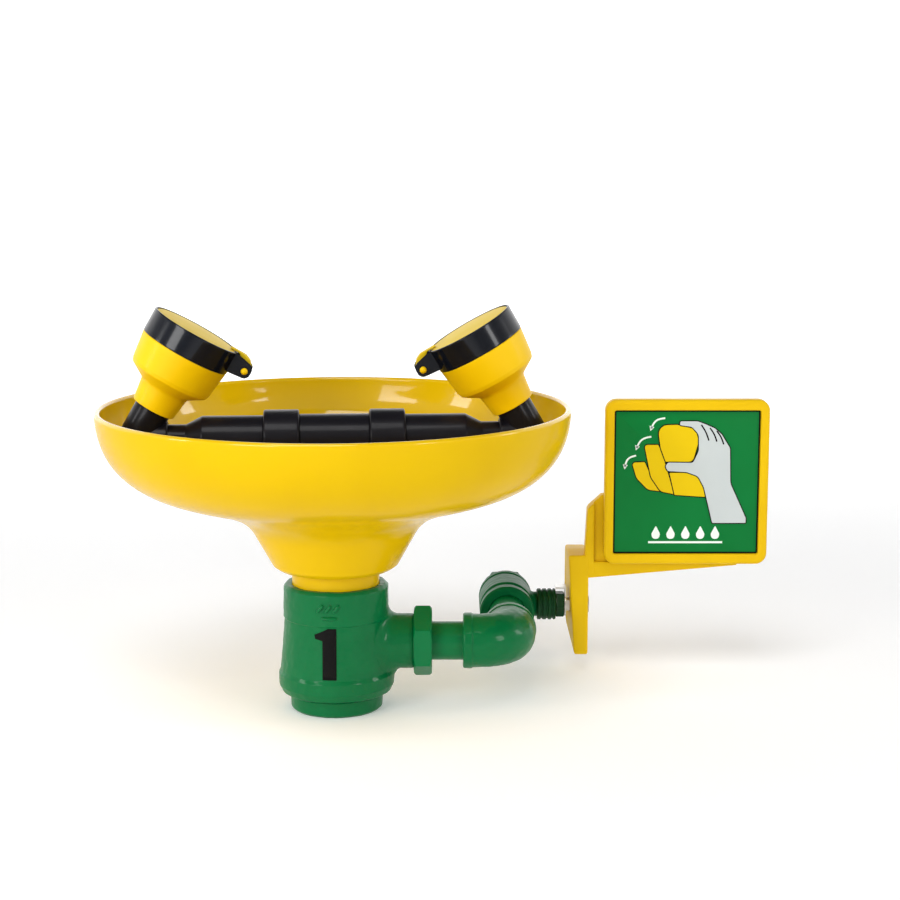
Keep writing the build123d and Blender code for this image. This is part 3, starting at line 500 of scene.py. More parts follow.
finishes = {
    "bowlYellow": plastic(
        "bowl_yellow_enamel", tint(220, 180, 2), tint(213, 171, 0), 0.2,
        peel=0.000001, wave=0.000004, coat=0.06, dust=0.03, mirror=0.06, upward=0.8,
    ),
    "cupYellow": plastic(
        "cup_yellow_satin", tint(244, 201, 4), tint(234, 186, 0),
        0.4, coat=0.03, peelSize=700, mirror=0.15,
    ),
    "lidYellow": plastic(
        "lid_yellow_satin", tint(222, 190, 26), tint(206, 174, 16),
        0.45, coat=0.0, peelSize=900, mirror=0.15,
    ),
    "mouldYellow": plastic(
        "moulded_yellow", tint(229, 189, 5), tint(216, 171, 2),
        0.42, coat=0.02, peelSize=600, mirror=0.12,
    ),
    "blackGloss": plastic(
        "black_gloss", tint(10, 13, 20), tint(16, 20, 29),
        0.18, coat=0.2, peelSize=520, mirror=0.18,
    ),
    "blackPlastic": plastic(
        "black_plastic", tint(18, 17, 21), tint(26, 25, 31),
        0.3, coat=0.06, peelSize=640, mirror=0.12,
    ),
    "greyPlastic": plastic("grey_plastic", tint(150, 154, 156), tint(130, 134, 137), 0.4, coat=0.0),
    "greenPaint": castPaint("green_paint", tint(0, 108, 58), tint(0, 93, 48), tint(30, 128, 80), 0.3),
    "pipePaint": castPaint(
        "pipe_paint", tint(0, 114, 62), tint(0, 98, 52), tint(30, 122, 78),
        0.3, 0.00007, 420,
    ),
    "valvePaint": castPaint(
        "valve_green_paint", tint(2, 98, 54), tint(2, 82, 42), tint(14, 100, 58),
        0.34, 0.0001, 380, 0.06,
    ),
    "darkPaint": castPaint(
        "dark_green_paint", tint(10, 66, 32), tint(8, 48, 24), tint(44, 84, 56),
        0.36, 0.0001, 380,
    ),
    "signGreen": printed("sign_green_sheet", tint(0, 118, 52), tint(0, 108, 44)),
    "inkYellow": printed("ink_yellow", tint(228, 194, 3), tint(218, 182, 0)),
    "inkGrey": printed("ink_grey", tint(196, 203, 203), tint(186, 193, 194)),
    "inkWhite": printed("ink_white", tint(236, 246, 238), tint(222, 234, 226)),
    "blackInkAndShade": printed("black_ink_and_painted_shade", tint(5, 5, 5), tint(10, 10, 10), 0.55),
    "steel": metal("steel", (0.62, 0.61, 0.59, 1), (0.4, 0.38, 0.35, 1), 0.24, (30, 1, 1)),
    "riserMetal": metal("riser_metal", (0.66, 0.65, 0.62, 1), (0.44, 0.42, 0.38, 1), 0.3, (1, 1, 30)),
    "chrome": metal("chromed_ball", (0.82, 0.83, 0.84, 1), (0.7, 0.7, 0.7, 1), 0.06, (1, 1, 1), 0.000002),
    "rubber": matt("black_rubber", tint(24, 24, 25), tint(38, 38, 39), 0.62),
    "sealWhite": matt("white_seal", tint(232, 232, 226), tint(212, 212, 204), 0.42),
    "foam": matt("grey_foam", tint(96, 99, 101), tint(34, 36, 38), 0.86, 900, 0.0004),
}
# Material slot of the CAD that each finish stands in
slotOf = {
    "bowlYellow": "bowl_yellow",
    "cupYellow": "cup_yellow",
    "lidYellow": "cup_yellow",
    "mouldYellow": "moulded_yellow",
    "blackGloss": "black_plastic",
    "blackPlastic": "black_plastic",
    "greenPaint": "green_paint",
    "pipePaint": "green_paint",
    "valvePaint": "dark_green_paint",
    "darkPaint": "dark_green_paint",
    "riserMetal": "riser_metal",
    "signGreen": "sign_green",
    **dict.fromkeys(("inkYellow", "inkGrey", "inkWhite", "blackInkAndShade"), "sign_green"),
}
print("finishes made:", len(finishes))


# Bowl: outer skin, its inner copy a wall away, a full round lip, and the spigot below
bowlLow, bowlHigh = reach("bowl")
bowlShape = {
    "shoulder": (122.3, 143.1),
    "turn": (107.5, 128.6),
    "floor": (67.9, 114.7),
    "throat": (47.4, 103.4),
    "waist": (43.9, 98.2),
    "foot": (34.6, 81.6),
    "wall": 3.4,
    "base": 79.5,
    "spigot": 24.1,
    "bore": 20.0,
    "columns": 224,
}
upright = spot((0, 0, 0), xWay, zWay)


# Bowl: two smooth curves make the outer skin, the inside lies a wall in from it, half a circle joins them
# at the rim and the spigot's section joins them below. The whole section is turned about the upright
def makeBowl():
    shape = bowlShape
    rim = (bowlHigh[0], bowlHigh[2])
    floorWay = (-0.94, -0.35)
    dish = smoothCurve([rim, shape["shoulder"], shape["turn"], shape["floor"]], (-0.02, -1), floorWay, 26)
    throat = smoothCurve([shape["floor"], shape["throat"], shape["waist"]], floorWay, (-0.44, -0.9), 12)
    skin = np.concatenate([dish[:-1], throat])
    way = np.gradient(skin, axis=0)
    way /= np.linalg.norm(way, axis=1)[:, None]
    inside = skin + np.stack([way[:, 1], -way[:, 0]], axis=1) * shape["wall"]
    lipDrop = rim[1] - shape["wall"] / 2
    skin, inside = skin[skin[:, 1] < lipDrop], inside[inside[:, 1] < lipDrop]
    middle, half = (skin[0] + inside[0]) / 2, np.linalg.norm(skin[0] - inside[0]) / 2
    turn = np.linspace(0, np.pi, 15)[1:-1]
    lip = middle + np.stack([-half * np.cos(turn), half * np.sin(turn)], axis=1)
    foot, top = shape["foot"], shape["base"] + 3.6
    below = rounded(
        [
            (*skin[-1], 0), (*foot, 2.0), (foot[0] - 3, shape["base"], 0.8),
            (shape["spigot"], shape["base"], 0.9), (shape["spigot"], bowlLow[2], 0.6),
            (shape["bore"], bowlLow[2], 0.5), (shape["bore"], top, 0.6),
            (foot[0] - shape["wall"], top, 1.5), (*inside[-1], 0),
        ],
        steps=5,
        spacing=2.5,
    )
    profile = np.concatenate([lip, skin, below[1:-1], inside[::-1]])
    points = wavered(turned(profile, upright, shape["columns"]), 0.012, 70)
    makePiece("bowl_shell", [(points, "loop")], "bowlYellow", ["bowl"])


makeBowl()
print("bowl done")


# Waste tee: turned body, branch blended into it, supply post inside, cast marks and numeral
teeLow, teeHigh = reach("waste_tee")
nutLow, nutHigh = reach("lock_nut")
branchHeight = (nutLow[2] + nutHigh[2]) / 2
teeShape = {
    "radius": 28.5,
    "step": 52.5,
    "band": 32.0,
    "bandTop": 22.0,
    "branch": 15.2,
    "root": 5.5,
    "post": 14.0,
    "postTop": 57.5,
    "socket": 10.75,
    "rough": 0.09,
}
numeral = {
    "right": 1.7,
    "left": -5.9,
    "foot": 23.4,
    "notch": 44.6,
    "tip": (-10.3, 47.9),
    "top": 51.3,
    "proud": 0.35,
}
castMarks = {"centre": (-2.7, 61.2), "size": (4.6, 1.05, 1.4), "pitch": 4.4, "tilt": 52}


# Section of the tee's wall as (radius, height, rounding), up its outside and down its inside
def teeOutline():
    shape, low, high = teeShape, teeLow[2], teeHigh[2]
    return [
        (24.1, low, 0.2), (shape["band"] - 3.5, low, 0.7), (shape["band"] - 1.8, low + 0.9, 0.8),
        (shape["band"], 14.5, 1.8), (shape["band"], shape["bandTop"] - 1.5, 1.0),
        (shape["band"] - 1.0, shape["bandTop"] + 0.5, 1.2), (30.6, 26.0, 3.0), (29.0, 44.0, 12.0),
        (shape["radius"], shape["step"] - 0.7, 0.25), (shape["radius"] + 0.55, shape["step"], 0.3),
        (shape["radius"] + 0.3, high - 1.6, 1.0), (shape["radius"] - 1.2, high, 0.9), (24.2, high, 0.5),
        (24.2, high - 15.1, 0.1), (22.6, high - 15.1, 0.1), (22.6, 22.2, 0.1), (24.1, 22.2, 0.1),
    ]


teeSide = rounded(teeOutline(), closed=True, steps=5, spacing=0.9)
outerSide = teeSide[teeSide[:, 0] > 24.6]
outerSide = outerSide[np.argsort(outerSide[:, 1])]


# Radius of the tee's outside at a height
def teeRadius(height):
    return np.interp(height, outerSide[:, 1], outerSide[:, 0])


# Low rounded ridge lying on the tee: half an ellipsoid, bent round the body
def castRidge(centre, size, tilt):
    along = np.linspace(-1, 1, 13)[:, None]
    angle = np.linspace(0, 2 * np.pi, 20, endpoint=False)[None, :]
    width = np.sqrt(np.maximum(1 - along**4, 0.002))
    a, b = size[0] * along, size[1] * width * np.cos(angle)
    turn = math.radians(tilt)
    x = centre[0] + a * math.cos(turn) - b * math.sin(turn)
    z = centre[1] + a * math.sin(turn) + b * math.cos(turn)
    proud = size[2] * width * np.sin(angle) - 0.05
    return putAt(upright, x, -np.sqrt((teeRadius(z) + proud) ** 2 - x**2), z)


# Tee: section turned about the upright, branch blended out of it along X, supply post and inner tube
# turned inside it, and cast marks laid on its neck
def makeTee():
    shape = teeShape
    body = wavered(turned(teeSide, upright, 192), shape["rough"], 9)
    outwards = laid((0, 0, branchHeight), yWay, zWay, xWay)
    mouth = [(1.0, 0), (0.3, shape["branch"] - 0.25), (0, shape["branch"] - 1.0), (0, shape["socket"] + 0.4)]
    mouth += [(0.5, shape["socket"]), (4, shape["socket"])]

    def skinRadius(height):
        return teeRadius(height + branchHeight)

    branch = branched(outwards, skinRadius, shape["branch"], shape["root"], teeHigh[0], mouth)
    branch[14:22] = wavered(branch, shape["rough"] * 0.6, 9)[14:22]
    postLow = branchHeight - shape["post"]
    postSide = rounded(
        [(0.6, postLow, 0), (shape["post"], postLow, 3.0), (shape["post"], shape["postTop"], 1.0)]
        + [(shape["socket"], shape["postTop"], 0.4), (shape["socket"], shape["postTop"] - 6, 0)],
        spacing=2.5,
    )
    inner = rounded([(10.0, 2.0, 0), (13.2, 2.0, 0.5), (13.2, 24.0, 0)])
    surfaces = [
        (body, "loop"), (branch, "caps"), (turned(postSide, upright, 64), "caps"),
        (turned(inner, spot((0, 0, branchHeight), yWay, xWay), 64), "caps"),
    ]
    marks = castMarks
    x, z = marks["centre"]
    short = (marks["size"][0] * 0.62, *marks["size"][1:])
    for step in (-1, 0, 1):
        surfaces.append((castRidge((x + step * marks["pitch"], z + 1.2), short, marks["tilt"]), "caps"))
    surfaces.append((castRidge((x + 0.6, z - 4.2), marks["size"], 0), "caps"))
    makePiece("cast_waste_tee", surfaces, "greenPaint", ["waste_tee"], sharp=30)


# Numeral: rows by height, the right edge straight and the left edge stepping out to the flag
def makeNumeral():
    shape = numeral
    tip, notch = shape["tip"], shape["notch"]
    flag = np.linspace(tip[1], shape["top"], 6)
    stem = np.linspace(shape["foot"], notch, 12)
    height = np.concatenate([stem, [notch + 1, (notch + 1 + tip[1]) / 2], flag])
    edges = [shape["left"], tip[0] + 0.5, tip[0], shape["right"] - 4.6]
    left = np.interp(height, [notch, notch + 1, tip[1], shape["top"]], edges)
    share = np.linspace(0, 1, 10)
    x = left[:, None] + (shape["right"] - left[:, None]) * share
    z = height[:, None] + 0 * x
    points = putAt(upright, x, -np.sqrt((teeRadius(z) + shape["proud"]) ** 2 - x**2), z)
    piece = makePiece("numeral_one", [(points, "sheet")], "blackInkAndShade")
    shell = piece.modifiers.new("thickness", "SOLIDIFY")
    shell.thickness, shell.offset = 0.0005, -1


makeTee()
makeNumeral()
print("waste tee done")


# Drain bush, pipes and lock nut
bushHigh = reach("drain_bush")[1]
pipeShape = {"radius": 10.65, "bore": 7.85}
bushShape = {"radius": bushHigh[0], "shank": 24.0, "bore": 20.95, "pitch": 2.31, "depth": 0.6}


# Bush: outer section, then a zigzag of half pitches down the bore for its thread, turned
def makeBush():
    shape, top, lip = bushShape, bushHigh[2], teeLow[2]
    outer = rounded(
        [
            (shape["bore"] + 0.8, 0, 0.4), (shape["radius"] - 1.8, 0, 0.9),
            (shape["radius"] - 0.35, 1.4, 0.8), (shape["radius"], lip - 1.3, 0.8),
            (shape["radius"] - 1.0, lip - 0.05, 0.5), (shape["shank"], lip - 0.05, 0.2),
            (shape["shank"], top, 0.5), (shape["bore"] + 0.8, top, 0.4),
        ],
        spacing=1.2,
    )
    turns = np.arange(top - 1, 1, -shape["pitch"] / 2)
    swing = np.where(np.arange(len(turns)) % 2 == 0, 0.0, shape["depth"])
    thread = np.stack([shape["bore"] + swing, turns], axis=1)
    points = wavered(turned(np.concatenate([outer, thread]), upright, 160), 0.05, 8)
    makePiece("turned_drain_bush", [(points, "loop")], "greenPaint", ["drain_bush"], sharp=40)


# Pipe wall about a spot: outer side, rounded ends and bore
def pipeWall(where, length, radius, bore):
    corners = [(bore, 0, 0.3), (radius, 0, 0.5), (radius, length, 0.5), (bore, length, 0.3)]
    return turned(rounded(corners, closed=True, steps=4, spacing=2.0), where, 96)


# Pipes: one wall section turned about the middle of each CAD node, with the nut on the first of them
def makePipes():
    shape = pipeShape
    for axis, node in enumerate(("inlet_nipple", "valve_nipple")):
        low, high = reach(node)
        origin = (low[0], 0, branchHeight) if axis == 0 else ((low[0] + high[0]) / 2, low[1], branchHeight)
        where = spot(origin, zWay, (xWay, yWay)[axis])
        length = (high - low)[axis]
        surfaces = [(pipeWall(where, length, shape["radius"], shape["bore"]), "loop")]
        makePiece(f"{node}_pipe", surfaces, "pipePaint", [node])
    low, high = reach("riser_pipe")
    where = spot((0, 0, low[2]), xWay, zWay)
    surfaces = [(pipeWall(where, high[2] - low[2], shape["radius"], shape["bore"]), "loop")]
    makePiece("riser_pipe_wall", surfaces, "riserMetal", ["riser_pipe"])
    nutSpot = spot((nutLow[0], 0, branchHeight), zWay, xWay)
    nut = hexNut(nutSpot, nutHigh[1] - nutLow[1], nutHigh[0] - nutLow[0], shape["radius"] + 0.1)
    makePiece("lock_nut_hexagon", [(nut, "loop")], "pipePaint", ["lock_nut"], sharp=28)


makeBush()
makePipes()
print("bush, pipes and nut done")


# Supply elbow: tube swept round the bend, with a rounded bead at each socket
elbowLow, elbowHigh = reach("supply_elbow")
elbowShape = {"radius": 14.85, "bead": 0.55, "beadWidth": 4.6, "bend": 17.0, "socket": 10.75}


# Elbow: radius by distance along the bent path, the same from both ends, with a bead at each socket
def makeElbow():
    shape = elbowShape
    axisX = elbowHigh[0] - shape["radius"] - 0.5
    leg = elbowHigh[1]
    start = np.array([elbowLow[0], 0, branchHeight])
    total = 2 * (leg - shape["bend"]) + shape["bend"] * math.pi / 2
    path = bentPath(start, (1, 0, 0), (0, 1, 0), (axisX, 0, branchHeight), shape["bend"])
    high, wide, socket = shape["radius"] + shape["bead"], shape["beadWidth"], shape["socket"]
    corners = [(2.5, socket, 0), (0, socket, 0.4), (0, high, 1.1), (wide, high, 0.9)]
    corners += [(wide + 0.9, shape["radius"], 1.0)]
    corners += [(total - distance, radius, rounding) for distance, radius, rounding in reversed(corners)]
    points = swept(path, rounded(corners, steps=5, spacing=0.8))
    points = wavered(points, 0.08, 10)
    makePiece("cast_supply_elbow", [(points, "caps")], "greenPaint", ["supply_elbow"])


makeElbow()
print("elbow done")


# Ball valve: turned body with collars, boss blended into it, hexagon end cap and gland nut
valveLow, valveHigh = reach("valve_body")
stemLow, stemHigh = reach("valve_stem")
capHigh = reach("valve_end_cap")[1]
glandHigh = reach("gland_nut")[1]
pipeAxisX = elbowHigh[0] - elbowShape["radius"] - 0.5
stemY = (stemLow[1] + stemHigh[1]) / 2
valveShape = {"radius": 16.0, "neck": 7.3, "boss": 9.3, "bossStart": 114.8, "groove": 0.7, "root": 2.5}


# Valve: barrel turned about Y, neck blended out of it along X, grooved boss and gland about the stem
def makeValve():
    shape = valveShape
    front, rear, wide = valveLow[1], valveHigh[1], shape["radius"]
    corners = [
        (10.75, front + 3, 0), (10.75, front, 0.4), (wide - 0.9, front, 0.5), (wide, front + 1, 0.7),
        (wide, front + 7, 0.6), (wide - 1.4, front + 8, 0.8), (wide - 1.4, front + 11, 0.8),
        (wide, front + 13, 1.2), (wide, rear - 9, 0.6), (wide - 0.8, rear - 8, 0.4),
        (wide - 0.8, rear - 6, 0.4), (wide, rear - 5, 0.5), (wide, rear - 0.9, 0.6),
        (wide - 0.9, rear, 0.4), (12.0, rear, 0.1), (12.0, rear - 3, 0),
    ]
    pipeSpot = spot((pipeAxisX, 0, branchHeight), xWay, yWay)
    body = wavered(turned(rounded(corners, steps=4, spacing=0.9), pipeSpot, 128), 0.07, 8)
    outwards = laid((pipeAxisX, stemY, branchHeight), zWay, yWay, xWay)
    neckEnd = shape["bossStart"] - pipeAxisX + 1

    def barrelRadius(height):
        return wide + 0 * height

    neck = branched(outwards, barrelRadius, shape["neck"], shape["root"], neckEnd, [(0.2, 0), (0, 6.0)])
    bossStart, bossEnd, boss = shape["bossStart"], valveHigh[0], shape["boss"]
    bossSide = [(4.0, bossStart, 0), (boss - 0.5, bossStart, 0.4), (boss, bossStart + 0.6, 0.3)]
    for grooveAt in (2.4, 5.6, 8.6):
        low = bossStart + grooveAt
        bossSide += [(boss, low - 0.2, 0.15), (boss - shape["groove"], low + 0.1, 0.1)]
        bossSide += [(boss - shape["groove"], low + 0.8, 0.1), (boss, low + 1.1, 0.15)]
    bossSide += [(boss, bossEnd - 0.6, 0.3), (boss - 0.5, bossEnd, 0.4), (4.2, bossEnd, 0)]
    stemSpot = spot((0, stemY, branchHeight), zWay, xWay)
    bossPoints = turned(rounded(bossSide, steps=3), stemSpot, 96)
    surfaces = [(body, "caps"), (neck, "caps")]
    makePiece("valve_body_casting", surfaces, "valvePaint", ["valve_body"], sharp=32)
    makePiece("valve_stem_boss", [(bossPoints, "caps")], "darkPaint", sharp=32)
    capSpot = spot((pipeAxisX, rear, branchHeight), xWay, yWay)
    hexagon = hexNut(capSpot, 2 * (wide - 2.2), capHigh[1] - rear, 10.48)
    ringSide = [(10.48, 0.7, 0), (10.48, -12.0, 0), (12.0, -12.0, 0), (12.0, 0.5, 0)]
    ring = rounded(ringSide, closed=True, spacing=2)
    surfaces = [(hexagon, "loop"), (turned(ring, capSpot, 96), "loop")]
    makePiece("valve_end_hexagon", surfaces, "valvePaint", ["valve_end_cap"], sharp=28)
    glandSpot = spot((bossEnd, stemY, branchHeight), yWay, xWay)
    gland = hexNut(glandSpot, 14.0, glandHigh[0] - bossEnd, 4.1)
    makePiece("gland_hexagon", [(gland, "loop")], "darkPaint", ["gland_nut"], sharp=28)


makeValve()
print("valve done")


# Lever: side plate on the stem, hollow-backed web behind the flag, round bosses for its screws
leverLow, leverHigh = reach("lever")
frameLow, frameHigh = reach("flag_frame")
leverShape = {
    "plateRight": 144.2,
    "taperHeight": 26.0,
    "taper": 4.0,
    "edge": 1.3,
    "webDepth": 11.0,
    "skin": 3.2,
    "wall": 2.6,
    "ribRight": 147.4,
    "ribProud": 2.6,
    "bosses": [(161.5, 97.0), (161.5, 75.5), (191.0, 84.0), (225.0, 74.0)],
}


# Lever: rounded outlines carried through slabs. The plate's low left face slants in, by its share of the
# way down and of the depth
def makeLever():
    shape = leverShape
    left, right = leverLow[0], shape["plateRight"]
    front, back, low, top = leverLow[1], leverHigh[1], leverLow[2], 71.4
    plate = [
        (front, low, 2.2), (back - 18, low, 5.0), (back - 5, low + 7, 8.0), (back, low + 20, 8.0),
        (back, top - 5, 2.0), (back - 3, top - 1.2, 2.0), ((front + back) / 2, top, 6.0),
        (front, top, 1.2),
    ]
    points = carried(plate, slab(left, right, shape["edge"]), laid((0, 0, 0), yWay, zWay, xWay), steps=5)
    depth = (points[..., 0] / mm - left) / (right - left)
    lowness = np.clip((shape["taperHeight"] - points[..., 2] / mm) / (shape["taperHeight"] - low), 0, 1)
    points[..., 0] += (1 - np.clip(depth * 1.4, 0, 1)) * lowness * shape["taper"] * mm
    outwards = laid((0, front, 0), xWay, zWay, yWay)
    webRight, webTop = leverHigh[0], leverHigh[2]
    web = [
        (142.2, 57.2, 1.0), (webRight - 5.8, 65.8, 3.0), (webRight, 68.6, 2.0), (webRight, 76.0, 3.0),
        (181.0, webTop, 6.0), (151.5, webTop, 2.0), (148.0, webTop - 3.3, 2.0),
        (143.8, webTop - 7.0, 2.0), (143.2, 83.1, 5.0), (142.6, 66.0, 3.0),
    ]
    deep, skin, wall, edge = shape["webDepth"], shape["skin"], shape["wall"], 0.9
    shellSide = slab(shape["ribProud"], deep, edge)
    shellSide = shellSide[:-1] + [(edge, deep), (wall - 0.3, deep), (wall, deep - 0.3)]
    shellSide += [(wall, skin + 0.5), (wall + 0.5, skin)]
    surfaces = [(points, "caps"), (carried(web, shellSide, outwards), "caps")]
    rib = [
        (141.5, 60.5, 1.0), (shape["ribRight"], 60.5, 0.6), (shape["ribRight"], webTop - 3.6, 0.8),
        (143.2, webTop - 8.0, 1.5), (142.4, 83.1, 5.0),
    ]
    surfaces.append((carried(rib, slab(0.15, deep - 0.6, 0.8), outwards), "caps"))
    arm = [(141.0, 57.6, 0.8), (231.0, 65.6, 1.0), (231.0, 67.6, 0.6), (141.0, 67.6, 0.8)]
    surfaces.append((carried(arm, slab(0.3, deep - 0.9, 0.7), outwards), "caps"))
    for x, z in shape["bosses"]:
        bossSide = [(2.2, 2.0, 0), (5.2, 2.0, 0), (5.2, deep, 0.6), (2.2, deep, 0.3)]
        bossSide = rounded(bossSide, closed=True, spacing=2)
        surfaces.append((turned(bossSide, spot((x, front, z), xWay, yWay), 48), "loop"))
    makePiece("lever_moulding", surfaces, "mouldYellow", ["lever"], body="push_handle", sharp=40)


makeLever()
print("lever done")


# Flag: frame with a raised border, green sheet, and a push pictogram printed on it in layers
signLow, signHigh = reach("flag_sign")
flagShape = {"corner": 6.5, "edge": 1.8, "side": 5.25, "end": 6.1, "recess": 3.1, "lip": 0.7}


# Frame: rounded rectangle carried in over the border's two quarter rounds and down into the recess
def makeFrame():
    shape = flagShape
    left, right, low, high = frameLow[0], frameHigh[0], frameLow[2], frameHigh[2]
    deep = frameHigh[1] - frameLow[1]
    outwards = laid(((left + right) / 2, frameLow[1], (low + high) / 2), xWay, zWay, yWay)
    turn = np.linspace(0, np.pi / 2, 6)
    edge, lip = shape["edge"], shape["lip"]
    rows = [(1.2, deep), (0.3, deep - 0.3), (0, deep - 1.2)]
    rows += [(edge * (1 - math.cos(a)), edge * (1 - math.sin(a))) for a in turn]
    rows += [(shape["side"] - lip + lip * math.sin(a), lip * (1 - math.cos(a))) for a in turn]
    rows += [(shape["side"], shape["recess"])]
    rings = []
    for inset, depth in rows:
        share = min(inset / shape["side"], 1)
        width = (right - left) / 2 - inset
        height = (high - low) / 2 - inset - (shape["end"] - shape["side"]) * share
        corner = max(shape["corner"] - inset, 0.6)
        corners = [(width, -height, corner), (width, height, corner)]
        corners += [(-width, height, corner), (-width, -height, corner)]
        ring = rounded(corners, closed=True, steps=8)
        rings.append(putAt(outwards, ring[:, 0], ring[:, 1], depth))
    makePiece(
        "flag_border", [(np.stack(rings), "caps")], "mouldYellow", ["flag_frame"], body="push_handle"
    )


# Pictogram corners, right of and above the sign's middle, each with its rounding
paddleFront = [
    (-17.2, 33.2, 5), (-6, 33.6, 5), (4.6, 31.0, 3), (6.6, 24, 5),
    (3.4, 12.1, 3), (-12.2, 12.1, 0.5), (-15.2, 20, 6),
]
paddleLow = [
    (-9.9, 5.5, 0.4), (-6.7, -7.4, 0.4), (10.9, -8.6, 0.4), (9.6, -2.4, 3), (6.2, 3.2, 4), (-0.5, 5.6, 5),
]
paddleMiddle = [
    (-24.6, 21.8, 1.5), (-16.8, 21.9, 0.8), (-14.8, 18.4, 4),
    (-7.0, -7.0, 0.4), (-14.8, -5.4, 4), (-20.6, 3.1, 8),
]
paddleBack = [
    (-31.6, 11.5, 1.5), (-24.2, 11.8, 1), (-22.6, 8.0, 3), (-14.6, -5.3, 0.4),
    (-22.2, -4.4, 5), (-28.8, 2.4, 6),
]
handShape = [
    (-4.4, 33.4, 0.8), (-4.2, 35.6, 0.8), (5.8, 35.6, 2), (10.4, 33.9, 1.5), (15.6, 31.6, 2),
    (19.6, 28.2, 2), (24.7, 20.0, 3), (25.3, -0.5, 10), (34.7, -21.0, 0.6), (34.7, -23.9, 0.4),
    (15.4, -23.9, 0.4), (10.2, -3.1, 6), (6.7, 3.6, 5), (0, 6.0, 6), (-10.9, 6.6, 1.4), (-12.4, 9.3, 1.8),
    (-10.8, 11.6, 1.2), (3.6, 11.4, 2), (6.8, 18.4, 6), (6.6, 28.0, 5), (2.6, 32.4, 3),
]
fingerLines = [((7.9, 33.6), (12.4, 24.4)), ((12.9, 31.8), (17.0, 23.8)), ((16.9, 30.0), (21.0, 22.2))]
swingArrows = [((-12.9, 37.4), (-20.8, 31.4)), ((-20.7, 26.6), (-29.0, 20.1)), ((-29.3, 15.6), (-35.6, 9.0))]
arrowShape = {"half": 0.5, "bow": -1.9, "head": 2.6, "steps": 14}
emblem = {"height": -30.9, "drops": 5, "pitch": 8.6, "radius": 2.5, "barHalf": 21.5, "barRise": 0.6}
inkStep = 0.05  # thickness of one layer of ink


# Spot on the sheet's front face, a number of ink layers out from it
def signSpot(layer):
    middle = (signLow + signHigh) / 2
    return laid((middle[0], signLow[1] - layer * inkStep, middle[2]), xWay, zWay, yWay)


# Flat patch of ink: corners carried through one layer's thickness, grown or shrunk by the inset
def inkPatch(corners, layer, inset=0.0):
    area = sum(a[0] * b[1] - b[0] * a[1] for a, b in zip(corners, corners[1:] + corners[:1]))
    ordered = corners if area > 0 else corners[::-1]
    return carried(ordered, [(inset, 0.0), (inset, inkStep * 1.3)], signSpot(layer), steps=5), "caps"


# Stroke of ink between two points, bowed sideways by a share of a half circle
def inkStroke(ends, layer, half, bow=0.0, steps=10):
    start, end = np.array(ends, float)
    share = np.linspace(0, 1, steps)[:, None]
    way = unit(end - start)
    normal = np.array([-way[1], way[0]])
    middle = start + (end - start) * share + normal * np.sin(share * np.pi) * bow
    tangent = np.gradient(middle, axis=0)
    tangent /= np.linalg.norm(tangent, axis=1)[:, None]
    side = np.stack([-tangent[:, 1], tangent[:, 0]], axis=1) * half
    rim = np.concatenate([middle + side, (middle - side)[::-1]])
    where = signSpot(layer)
    return np.stack([putAt(where, rim[:, 0], rim[:, 1], depth) for depth in (0.0, inkStep * 1.3)]), "caps"


# Arrow head: three corners at the stroke's end, pointing along it and turned with its bow
def arrowHead(ends, layer, size, bow):
    start, end = np.array(ends, float)
    along = unit(end - start)
    way = unit(along - 0.35 * bow * np.array([-along[1], along[0]]))
    normal = np.array([-way[1], way[0]])
    tip = end + way * size * 0.6
    corners = [(*tip, 0.1), (*(end - way * size * 0.5 + normal * size * 0.55), 0.1)]
    corners.append((*(end - way * size * 0.5 - normal * size * 0.55), 0.1))
    return inkPatch(corners, layer)


# Sign: a thin slab, then patches and strokes of ink on it, each layer one ink step proud of the last, and a
# black line round the sheet's edge that is painted shadow of the gap in the recess
def makeSign():
    width, height = (signHigh - signLow)[0] / 2, (signHigh - signLow)[2] / 2
    corners = [(-width, -height, 0.4), (width, -height, 0.4), (width, height, 0.4), (-width, height, 0.4)]
    sheet = carried(corners, slab(0, signHigh[1] - signLow[1], 0.15, 2), signSpot(0), steps=4)
    makePiece("sign_sheet", [(sheet, "caps")], "signGreen", ["flag_sign"], body="push_handle")
    line = 0.6
    yellow, black, grey, white = [], [], [], []
    for order, patch in enumerate((paddleBack, paddleMiddle, paddleLow, paddleFront)):
        black.append(inkPatch(patch, 1 + 2 * order, -line))
        yellow.append(inkPatch(patch, 2 + 2 * order))
    black.append(inkPatch(handShape, 9, -line))
    # Painted shadow: four thin black strokes along the sheet's edge stand in for the shade in the gap between
    # the sheet and the frame's recess
    border = 0.4
    edge = [(a * (width - border), b * (height - border)) for a, b in ((-1, -1), (1, -1), (1, 1), (-1, 1))]
    black += [inkStroke(ends, 1, border) for ends in zip(edge, edge[1:] + edge[:1])]
    grey.append(inkPatch(handShape, 10))
    black += [inkStroke(ends, 11, 0.42, 0.5) for ends in fingerLines]
    shape = arrowShape
    for ends in swingArrows:
        white.append(inkStroke(ends, 1, shape["half"], shape["bow"], shape["steps"]))
        white.append(arrowHead(ends, 1, shape["head"], shape["bow"]))
    rise = emblem["height"]
    for index in range(emblem["drops"]):
        x = (index - (emblem["drops"] - 1) / 2) * emblem["pitch"]
        size = emblem["radius"]
        drop = [(x, rise + size * 2.1, 0.3), (x - size, rise + size * 0.2, size * 0.8)]
        drop += [(x - size * 0.8, rise - size, size * 0.8), (x + size * 0.8, rise - size, size * 0.8)]
        drop += [(x + size, rise + size * 0.2, size * 0.8)]
        white.append(inkPatch(drop, 1))
    bar = emblem["barHalf"]
    below = rise - emblem["radius"] - 2.0
    white.append(inkStroke(((-bar, below), (bar, below)), 1, emblem["barRise"]))
    for name, surfaces, finish in (
        ("pictogram_yellow", yellow, "inkYellow"),
        ("pictogram_outline_and_recess_shade", black, "blackInkAndShade"),
        ("pictogram_hand", grey, "inkGrey"),
        ("pictogram_white", white, "inkWhite"),
    ):
        makePiece(name, surfaces, finish, body="push_handle")


makeFrame()
makeSign()
print("flag done")


